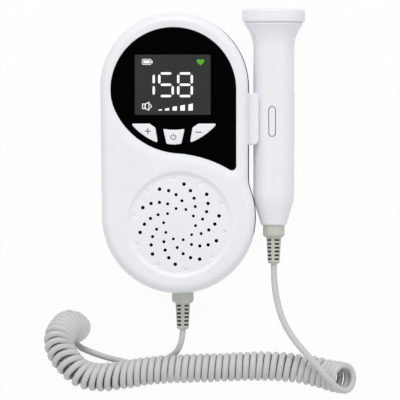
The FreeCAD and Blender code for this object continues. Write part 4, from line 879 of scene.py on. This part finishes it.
def key_ring(side):
    """The plus key's outline, or its mirror image for the minus key."""
    inner = SHOULDER_R - KEY_INSET
    top, low_x = KEYS[1] - KEY_TOP, KEYS[0] - KEY_LOW
    tip = (SHOULDER[0] - math.sqrt(inner ** 2 - (top - SHOULDER[1]) ** 2), top)
    low = (low_x, SHOULDER[1] - math.sqrt(inner ** 2 - (low_x - SHOULDER[0]) ** 2))
    sweep = polar(SHOULDER, inner, np.linspace(heading(SHOULDER, tip) % TAU,
                                               heading(SHOULDER, low) % TAU, 6))[1:-1]
    corners = np.array([tip, *sweep, low, KEYS + (-9.4, -19.1), (KEYS[0] - 12.4, top)])
    radii = [KEY_BEND] + [SWEEP_BEND] * len(sweep) + [KEY_BEND, FOOT_BEND, FOOT_BEND]
    if side > 0:
        corners[:, 0] = 2 * KEYS[0] - corners[:, 0]
        corners, radii = corners[::-1], radii[::-1]
    return offset(rounded(corners, radii), -KEY_TRIM)


def power_ring():
    """The middle key: wide hollow top, narrow round base, both bent by half a millimetre."""
    t = np.linspace(-1, 1, 9)
    base, top = (np.column_stack([KEYS[0] + half * t, KEYS[1] - down - 0.5 * (1 - t ** 2)])
                 for half, down in ((3.8, 27.2), (5.45, 19.7)))
    radii = np.zeros(2 * len(t))
    radii[[0, 8, 9, 17]] = KEY_BEND
    return rounded(np.concatenate([base, top[::-1]]), radii)


KEY_RINGS = {"plus_key": key_ring(-1), "power_key": power_ring(), "minus_key": key_ring(1)}
WINDOW, WINDOW_HALF = np.array((-2.8, 34.4)), np.array((19.3, 15.3))
window_ring = rounded(WINDOW + WINDOW_HALF * np.array([(-1, -1), (1, -1), (1, 1), (-1, 1)]), 0.3)
for name, ring in [*KEY_RINGS.items(), ("window", window_ring)]:
    print("%s %.1f by %.1f mm" % (name, *np.ptp(ring, axis=0)))

# %% [markdown]
# Panel, window and keys are all plates, and so is the clip's jaw further on: a net under a
# formula for its height, a round upper edge, a wall and a base. A Boolean modifier could cut the
# openings, but it leaves long thin faces, which show on a glossy surface. Here each opening is a
# ring that the triangulation leaves out and a band then closes.

# %% Plates
def slab(made, outer, holes, low, high, edge, fill=3.0):
    """Adds a plate between two formulas for its heights, with a round upper edge."""
    top_ring = offset(outer, -edge)
    field = grid(outer.min(0), outer.max(0), fill)
    keep = inside(field, offset(top_ring, -fill * 0.3))
    for hole in holes:
        keep &= ~inside(field, offset(hole, fill * 0.3))
    net, triangles = triangulated(top_ring, holes, field[keep])
    top, base = made.sheets(net, triangles, high(net), low(net))
    height = high(top_ring)
    ladder = [lift(offset(outer, -edge * (1 - math.sin(a))), height - edge * (1 - math.cos(a)))
              for a in np.radians((22.5, 45, 67.5, 90))]
    ladder.append(lift(outer, low(top_ring) + 0.02))
    around, *openings = ring_numbers([top_ring, *holes])
    made.chain([top[around], *map(made.add, ladder), base[around]])
    for index in openings:
        made.band(top[index], base[index])


def plate(name, slot, outer, holes, low, high, edge, body="unit", fill=3.0):
    """One plate on a level floor, as a piece of its own."""
    made = Surface()
    slab(made, outer, holes, lambda points: np.full(len(points), low), high, edge, fill)
    return made.piece(name, slot, body, [slot])


PANEL_BASE, PANEL_DROP, GLASS_DROP = 30.45, 0.86, 0.88
PANEL_EDGE, GLASS_EDGE, KEY_GAP = 0.12, 0.05, 0.22
openings = [window_ring] + [offset(ring, KEY_GAP) for ring in KEY_RINGS.values()]
panel = plate("panel_plate", "black_panel", panel_ring(PANEL_EDGE), openings, PANEL_BASE,
              below_crown(PANEL_DROP), PANEL_EDGE)
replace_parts(panel, "face_panel")
glass = plate("window_glass", "dark_window", offset(window_ring, -GLASS_EDGE), [], PANEL_BASE,
              below_crown(GLASS_DROP), GLASS_EDGE)
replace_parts(glass, "display_lens")

# %% [markdown]
# A key stands in its opening almost flush with the crown. Its top falls off a little towards
# its outline, and that slope is what catches the light along one side of each key. All three
# could be one piece with the panel, but each is pressed on its own, so each rides on a body of
# its own.

# %% The keys
KEY_BASE, KEY_DROP, KEY_FALL, KEY_SLOPE, KEY_EDGE = 26.3, 0.15, 0.18, 1.6, 0.3


def key_dome(ring):
    """The formula of a key's top: almost flush, and lower near the key's outline."""
    flush = below_crown(KEY_DROP)
    return lambda points: flush(points) - KEY_FALL * smooth(
        1 - distance(points, ring) / KEY_SLOPE)


for node, ring in KEY_RINGS.items():
    cap = plate(node + "_cap", "white_key", ring, [], KEY_BASE, key_dome(ring), KEY_EDGE,
                body=node, fill=0.8)
    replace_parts(cap, node)

# %% [markdown]
# What the display and the keys show is print. It could be a picture wrapped on the surface, but
# a drawn shape keeps its edge from any distance. So each mark is a thin flat piece that stands a
# few hundredths of a millimetre above the surface, as ink does, drawn as a ring and filled like
# the plates.

# %% Printed marks
GRID, GRID_X, GRID_Y = 0.51, 178.3, 152.5
INK_DEPTH = 0.05


def at(x, y):
    """Places on the face, from steps of the drawing's grid: x to the right, y down."""
    return np.stack([(np.asarray(x) - GRID_X) * GRID, (GRID_Y - np.asarray(y)) * GRID], axis=-1)


def outline(ring, stroke):
    """A ring with a hole that leaves a line of even width."""
    return ring, [offset(ring, -stroke)]


def box_ring(x0, y0, x1, y1, radius=0.2):
    """A box between two places of the grid, with round corners."""
    (ax, ay), (bx, by) = at(x0, y1), at(x1, y0)
    return rounded([(ax, ay), (bx, ay), (bx, by), (ax, by)], radius, 4)


def marks(name, slot, look, shapes, top, body="unit", height=0.03):
    """Flat shapes, each an outer ring and its holes, as thin closed plates."""
    made = Surface()
    for outer, inner in shapes:
        net, triangles = triangulated(outer, inner)
        upper, lower = made.sheets(net, triangles, top(net) + height, top(net) - INK_DEPTH)
        for index in ring_numbers([outer, *inner]):
            made.band(upper[index], lower[index])
    return made.piece(name, slot, body, [look], merge=False)

# %% [markdown]
# A digit of such a display is seven bars. Each bar is a hexagon with pointed ends, drawn back
# from its neighbours by a small gap, and a digit is a word that names its lit bars.

# %% Digits
BAR, BAR_GAP = 1.25, 0.52


def segment(a, b):
    """A bar of a seven-segment digit: a long hexagon with pointed ends."""
    way = (b - a) / np.linalg.norm(b - a)
    side, tip = np.array((-way[1], way[0])) * BAR / 2, way * BAR / 2
    ring = [a, a + tip - side, b - tip - side, b, b - tip + side, a + tip + side]
    return rounded(ring, 0.12, 3)


def digit(lit, left, right, top, base):
    """Those bars of a digit that are lit: a top, b c right, d base, e f left, g middle."""
    x0, x1, y0, y1 = left + BAR / 2, right - BAR / 2, base + BAR / 2, top - BAR / 2
    middle = (y0 + y1) / 2
    ends = {"a": ((x0, y1), (x1, y1)), "b": ((x1, middle), (x1, y1)),
            "c": ((x1, y0), (x1, middle)), "d": ((x0, y0), (x1, y0)),
            "e": ((x0, y0), (x0, middle)), "f": ((x0, middle), (x0, y1)),
            "g": ((x0, middle), (x1, middle))}
    shapes = []
    for bar in lit:
        a, b = (np.array(end) for end in ends[bar])
        gap = (b - a) / np.linalg.norm(b - a) * BAR_GAP
        shapes.append((segment(a + gap, b - gap), []))
    return shapes


digits = []
for bars, left, right in (("bc", 144, 155.1), ("afgcd", 158.2, 174), ("abcdefg", 177.1, 193)):
    (x0, y1), (x1, y0) = at(left, 72.5), at(right, 97.5)
    digits += digit(bars, x0, x1, y1, y0)
print(len(digits), "lit bars")

# %% [markdown]
# The small signs round the number are a battery, a loudspeaker, a row of rising bars for the
# level, and a green heart, which is the well-known curve of sines and cosines.

# %% Signs on the display
battery = [outline(box_ring(142.1, 59.3, 151.4, 65.1, 0.6), 0.3),
           (box_ring(143.5, 60.7, 150, 63.7, 0.15), []),
           (box_ring(151.6, 60.9, 152.7, 63.5, 0.15), [])]
wave = at([150.2, 151.4, 152, 151.4, 150.2], [104, 105, 106.4, 107.8, 108.8])
speaker = [outline(at([142.3, 142.3, 145.5, 145.5], [103.8, 109.2, 109.2, 103.8]), 0.42),
           outline(at([145.1, 145.1, 149.5, 149.5], [104, 109, 111.1, 101.9]), 0.44),
           (np.concatenate([wave, (wave + (-0.44, 0))[::-1]]), [])]
levels = [(at([x0, x1, x1, x0], [110.8, 110.8, right, left]), [])
          for x0, x1, left, right in (
              (158.4, 162, 109.9, 109.2), (165, 169.2, 108.9, 108), (172.6, 177, 107, 106.3),
              (180.3, 185, 105.9, 104.9), (188.4, 192.9, 104.7, 103.6))]
t = np.linspace(0, TAU, 40, endpoint=False)
heart_ring = np.column_stack([16 * np.sin(t) ** 3, 13 * np.cos(t) - 5 * np.cos(2 * t)
                              - 2 * np.cos(3 * t) - np.cos(4 * t)])[::-1] * 0.118
# The display's white marks glow a little: painted light that keeps them bright on the dark
# window.
finish("display_white_glow", (252, 253, 252), 0.4, tint=0.01, Emission_Color=(1, 1, 1, 1),
       Emission_Strength=0.12)
finish("heart_green", (92, 184, 40), 0.4, tint=0.04)
marks("display_marks", "dark_window", "display_white_glow", digits + battery + speaker + levels,
      below_crown(GLASS_DROP))
marks("heart_mark", "dark_window", "heart_green", [(heart_ring + at(200.5, 62.2), [])],
      below_crown(GLASS_DROP))

# %% [markdown]
# The keys carry a plus, the sign for power and a minus in dark ink. Each line of them is closed
# on itself, so none needs a hole.

# %% Marks on the keys
finish("key_ink", (74, 76, 80), 0.5, tint=0.03)


def cross(centre, size, width, upright):
    """A plus of two bars, or a minus of one, as one closed line."""
    s, w = size / 2, width / 2
    if upright:
        ring = [(s, w), (w, w), (w, s), (-w, s), (-w, w), (-s, w), (-s, -w), (-w, -w),
                (-w, -s), (w, -s), (w, -w), (s, -w)]
    else:
        ring = [(s, w), (-s, w), (-s, -w), (s, -w)]
    return np.array(ring, float) + centre


def broken_circle(centre, radius, width, gap):
    """A ring with an opening at its top, as one closed line."""
    turn = np.linspace(math.pi / 2 + gap, math.pi / 2 - gap + TAU, 33)
    return np.concatenate([polar(centre, radius + width / 2, turn),
                           polar(centre, radius - width / 2, turn[::-1])])


power = at(173.4, 137.1)
KEY_MARKS = {"plus_key": [(cross(at(148, 131.3), 2.9, 0.5, True), [])],
             "power_key": [(broken_circle(power, 1.28, 0.4, 0.62), []),
                           (np.array([(-.2, .1), (.2, .1), (.2, 1.75), (-.2, 1.75)]) + power,
                            [])],
             "minus_key": [(cross(at(198.5, 132.3), 3.1, 0.5, False), [])]}
for node, shapes in KEY_MARKS.items():
    marks(node + "_mark", "white_key", "key_ink", shapes, below_crown(KEY_DROP), body=node,
          height=0.02)

# %% [markdown]
# The probe is round all over, so it is a turned shape: a half outline carried round its axis.
# Blender's Spin tool does the same by hand, and the formula makes it easy to alter one radius
# later. The outline lists the radius and the place along the axis, with arcs where the handle
# flares into the head and where it tapers to the cord. A fine line shows where head and handle
# meet, because both edges there are a little rounded.

# %% A shape turned round the probe's axis
def turned(name, slot, profile, count=96):
    """Each inner profile point (r, y) becomes the ring x = X + r cos a, z = Z + r sin a.

    The first and the last point lie on the axis, and each closes the shape with a fan.
    """
    made = Surface()
    turn = np.arange(count) * TAU / count
    (_, first_y), *walls, (_, last_y) = profile
    rings = [made.add(np.column_stack([PROBE_X + radius * np.cos(turn), np.full(count, y),
                                       PROBE_Z + radius * np.sin(turn)])) for radius, y in walls]
    made.chain(rings)
    made.cap(rings[0], (PROBE_X, first_y, PROBE_Z))
    made.cap(rings[-1], (PROBE_X, last_y, PROBE_Z))
    return made.piece(name, slot, "probe", [slot])

# %% The probe
FRONT_Y, SEAM_Y, NECK_Y, TAPER_Y, HANDLE_END = 73.2, 66.5, 53.0, -20.5, -37.1
HEAD_R, HEAD_ROUND, LENS_R, LENS_BASE, LENS_CROWN = 16.0, 1.2, 13.6, 71.05, 0.3
GRIP_R, FLARE_R, MOUTH_R, TAPER_R, TAPER_TURN, TIP_R = 10.4, 19, 15, 22, 16.5, 1.4


def handle_profile():
    """From the seam with the head down the flare, the grip, the taper and the end."""
    neck = np.array((GRIP_R + FLARE_R, NECK_Y))
    mouth = (MOUTH_R, NECK_Y + math.sqrt(FLARE_R ** 2 - (neck[0] - MOUTH_R) ** 2))
    seam = [(0, SEAM_Y - 0.1), (14.7, SEAM_Y - 0.1), (14.87, SEAM_Y - 0.14),
            (14.96, SEAM_Y - 0.26)]
    flare = arc_line(neck, FLARE_R, math.degrees(heading(neck, mouth)), 180, 22)
    grip = np.column_stack([np.full(14, GRIP_R), np.linspace(50, -19, 14)])
    bend = arc_line((GRIP_R - TAPER_R, TAPER_Y), TAPER_R, 0, -TAPER_TURN, 10)
    slope, low_y = math.tan(math.radians(TAPER_TURN)), HANDLE_END + TIP_R
    low = np.array((bend[-1][0] - (bend[-1][1] - low_y) * slope, low_y))
    tip = arc_line(low - (TIP_R, 0), TIP_R, -10, -90, 6)
    return np.concatenate([seam, flare, grip, bend, np.linspace(bend[-1], low, 8)[1:], tip,
                           [(0, HANDLE_END)]])


def head_profile():
    """The cap: a soft edge at the seam, a straight drum and a rounded front edge."""
    seam = [(0, SEAM_Y), (15.0, SEAM_Y), (15.3, SEAM_Y + 0.03), (15.6, SEAM_Y + 0.16),
            (15.85, SEAM_Y + 0.4), (15.97, SEAM_Y + 0.75)]
    drum = np.column_stack([np.full(4, HEAD_R), np.linspace(SEAM_Y + 1.4, FRONT_Y - 1.4, 4)])
    edge = arc_line((HEAD_R - HEAD_ROUND, FRONT_Y - HEAD_ROUND), HEAD_ROUND, 0, 90, 7)
    return np.concatenate([seam, drum, edge, [(13.9, FRONT_Y), (13.75, FRONT_Y - 0.3),
                                              (13.7, FRONT_Y - 2.2), (0, FRONT_Y - 2.2)]])


def lens_profile():
    """The face that touches the skin: a plate with a slightly crowned front."""
    radii = np.linspace(LENS_R, 0, 14)
    front = FRONT_Y + LENS_CROWN * (1 - (radii / LENS_R) ** 2)
    return np.concatenate([[(0, LENS_BASE), (LENS_R, LENS_BASE)],
                           np.column_stack([radii, front])])


handle = turned("probe_handle", "white_shell", handle_profile())
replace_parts(handle, "probe_front_shell", "probe_back_shell")
head = turned("probe_cap", "white_shell", head_profile())
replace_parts(head, "probe_head")
face = turned("probe_window", "probe_lens", lens_profile())
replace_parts(face, "probe_face")

# %% [markdown]
# The oval field on the handle is print on a round surface, so its height follows the round.

# %% Printed field on the handle
finish("print_grey", (84, 86, 90), 0.5, tint=0.03)


def on_handle(points):
    """Height of the round handle above each point."""
    return PROBE_Z + np.sqrt(GRIP_R ** 2 - (points[:, 0] - PROBE_X) ** 2)


(pill_left, pill_top), (pill_right, pill_base) = at(268.3, 106.2), at(275.7, 136.8)
pill_r = (pill_right - pill_left) / 2
pill = np.concatenate([
    polar((pill_left + pill_r, pill_top - pill_r), pill_r, np.linspace(0, math.pi, 21)),
    polar((pill_left + pill_r, pill_base + pill_r), pill_r, np.linspace(math.pi, TAU, 21))])
marks("handle_mark", "white_shell", "print_grey", [outline(pill, 0.4)], on_handle, body="probe",
      height=0.02)

# %% [markdown]
# The clip is one moulding: a short front jaw that looks like a rounded tab, and a curved back
# jaw that wraps the handle from behind. It could be carved from a block, but a moulding is
# truer when each part is made from its own section. The front jaw is a slab whose underside
# follows the handle. The back jaw is one outline, the section that a saw cut would show,
# carried along the handle.

# %% Surfaces and section of the clip
CLIP_TOP, CLIP_BASE, CLIP_R, CLIP_WALL = 30.4, 3.8, 10.7, 2.2
JAW_LEFT, JAW_RIGHT, JAW_CORNER, JAW_FLOOR, JAW_EDGE = 35.2, 40.95, 4.0, 20.5, 0.8
CREST_X, CREST_Z = 38.9, 27.05
BACK_X, BACK_START, BACK_END, BACK_OUTER, END_INSET = 35.4, 157, 324, 215, 0.5


def jaw_top(points):
    """A low arch from the wall up to the crest and down to the lip: z = crest - k x^2."""
    x = points[:, 0] - CREST_X
    return CREST_Z - np.where(x < 0, 0.13, 0.16) * x ** 2


def jaw_underside(points):
    """The round of the handle with its fit, or a level floor left of it."""
    x = np.minimum(PROBE_X - points[:, 0], CLIP_R)
    return np.maximum(PROBE_Z + np.sqrt(CLIP_R ** 2 - x ** 2), JAW_FLOOR)


def back_section():
    """The back jaw seen along the handle: its inner arc, a round end and its outer arc."""
    axis = np.array((PROBE_X, PROBE_Z))
    hold = arc_line(axis, CLIP_R, BACK_START, BACK_END, 60)
    outer = arc_line(axis, CLIP_R + CLIP_WALL, BACK_END, BACK_OUTER, 40)
    end = polar(axis, CLIP_R + CLIP_WALL / 2, math.radians(BACK_END))
    nose = arc_line(end, CLIP_WALL / 2, BACK_END - 180, BACK_END - 360, 9)[1:-1]
    return np.concatenate([[(BACK_X, 20.6)], hold, nose, outer, [(BACK_X, 9.0)]])


# %% Both jaws in one piece
def clip():
    """Jaw and back jaw in one mesh."""
    made = Surface()
    corners = [(JAW_LEFT, CLIP_BASE), (JAW_RIGHT, CLIP_BASE), (JAW_RIGHT, CLIP_TOP),
               (JAW_LEFT, CLIP_TOP)]
    slab(made, rounded(corners, [0.3, JAW_CORNER, JAW_CORNER, 0.3], 9), [], jaw_underside,
         jaw_top, JAW_EDGE, fill=0.9)
    section = back_section()
    rings = []
    for inset, y in ((END_INSET, CLIP_BASE + 0.02), (0.14, CLIP_BASE + 0.14),
                     (0, CLIP_BASE + 0.5), (0, CLIP_TOP - 0.5), (0.14, CLIP_TOP - 0.14),
                     (END_INSET, CLIP_TOP - 0.02)):
        rings.append(made.add(np.insert(offset(section, -inset), 1, y, axis=1)))
    made.chain(rings)
    _, triangles = triangulated(offset(section, -END_INSET), [])
    for end in (rings[0], rings[-1]):
        made.fill(end[triangles])
    return made.piece("clip", "white_shell", finishes=["white_shell"])


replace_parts(clip(), "probe_holder")

# %% [markdown]
# The floor is a plain sheet. A strongly lit one would show white too, but it would also light
# the object from below. This one shows white to the camera and still takes the object's shadow:
# its shader is mostly white light for camera rays, and a plain grey for the light that it
# throws back. A mixer's inputs are its factor and then its two shaders.

# %% Floor
FLOOR_HALF, FLOOR_Z = 3, -5e-5


def floor():
    """A sheet that camera, mirror and glass rays see as white, and all others as grey."""
    mesh = bpy.data.meshes.new("floor")
    corners = ((-1, -1), (1, -1), (1, 1), (-1, 1))
    mesh.from_pydata([(x * FLOOR_HALF, y * FLOOR_HALF, FLOOR_Z) for x, y in corners], [],
                     [(0, 1, 2, 3)])
    sheet = placed("floor", mesh)
    material = bpy.data.materials.new("floor")
    material.use_nodes = True
    nodes, links = material.node_tree.nodes, material.node_tree.links
    nodes.clear()
    out = nodes.new("ShaderNodeOutputMaterial")
    seen, shown = nodes.new("ShaderNodeMixShader"), nodes.new("ShaderNodeMixShader")
    matt, pale = nodes.new("ShaderNodeBsdfDiffuse"), nodes.new("ShaderNodeBsdfDiffuse")
    glow, path = nodes.new("ShaderNodeEmission"), nodes.new("ShaderNodeLightPath")
    matt.inputs["Color"].default_value = (0.55, 0.55, 0.55, 1)
    pale.inputs["Color"].default_value = (0.9, 0.9, 0.9, 1)
    glow.inputs["Strength"].default_value = 1.0
    shown.inputs["Fac"].default_value = 0.95
    ray = path.outputs["Is Camera Ray"]
    for other in ("Is Glossy Ray", "Is Transmission Ray"):
        either = nodes.new("ShaderNodeMath")
        either.operation = "MAXIMUM"
        links.new(ray, either.inputs[0])
        links.new(path.outputs[other], either.inputs[1])
        ray = either.outputs[0]
    for start, end in ((pale.outputs[0], shown.inputs[1]), (glow.outputs[0], shown.inputs[2]),
                       (ray, seen.inputs[0]), (matt.outputs[0], seen.inputs[1]),
                       (shown.outputs[0], seen.inputs[2]), (seen.outputs[0], out.inputs[0])):
        links.new(start, end)
    mesh.materials.append(material)


floor()
print("floor %d by %d m" % (2 * FLOOR_HALF, 2 * FLOOR_HALF))

# %% [markdown]
# One large lamp from the top side shapes the edges. Several small ones would each leave a
# bright spot on the panel, so the world fills the rest. It is dark just overhead, where the
# camera hangs, so that the glossy panel mirrors a dark ceiling and stays black.

# %% Lamp and world
LAMP_PLACE, LAMP_TARGET = (0.0, 1.7, 1.5), (0, -0.02, 0)
LAMP_SIZE, LAMP_POWER = 1.3, 17
SKY = ((0.0, 0.68), (0.3, 0.84), (0.7, 0.92), (0.88, 0.84), (0.97, 0.02))

lamp = placed("key_lamp", bpy.data.lights.new("key_lamp", "AREA"))
lamp.data.shape, lamp.data.size, lamp.data.energy = "DISK", LAMP_SIZE, LAMP_POWER
lamp.location = LAMP_PLACE
toward = Vector(LAMP_TARGET) - Vector(LAMP_PLACE)
lamp.rotation_euler = toward.to_track_quat("-Z", "Y").to_euler()


def studio():
    """World light from a ramp of the direction's height: 0 at the horizon, 1 overhead."""
    world = bpy.data.worlds.new("studio")
    world.use_nodes = True
    nodes, links = world.node_tree.nodes, world.node_tree.links
    sky = nodes["Background"]
    place = nodes.new("ShaderNodeTexCoord")
    split = nodes.new("ShaderNodeSeparateXYZ")
    shade = nodes.new("ShaderNodeValToRGB")
    ramp = shade.color_ramp
    for number, (height, level) in enumerate(SKY):
        stop = ramp.elements[number] if number < 2 else ramp.elements.new(height)
        stop.position = height
        stop.color = (level, level, level, 1)
    links.new(place.outputs["Generated"], split.inputs["Vector"])
    links.new(split.outputs["Z"], shade.inputs["Fac"])
    links.new(shade.outputs["Color"], sky.inputs["Color"])
    sky.inputs["Strength"].default_value = 1.0
    bpy.context.scene.world = world


studio()
bpy.context.scene.view_settings.view_transform = "Standard"
print("lamp of %d W and a world of %d shades" % (LAMP_POWER, len(SKY)))
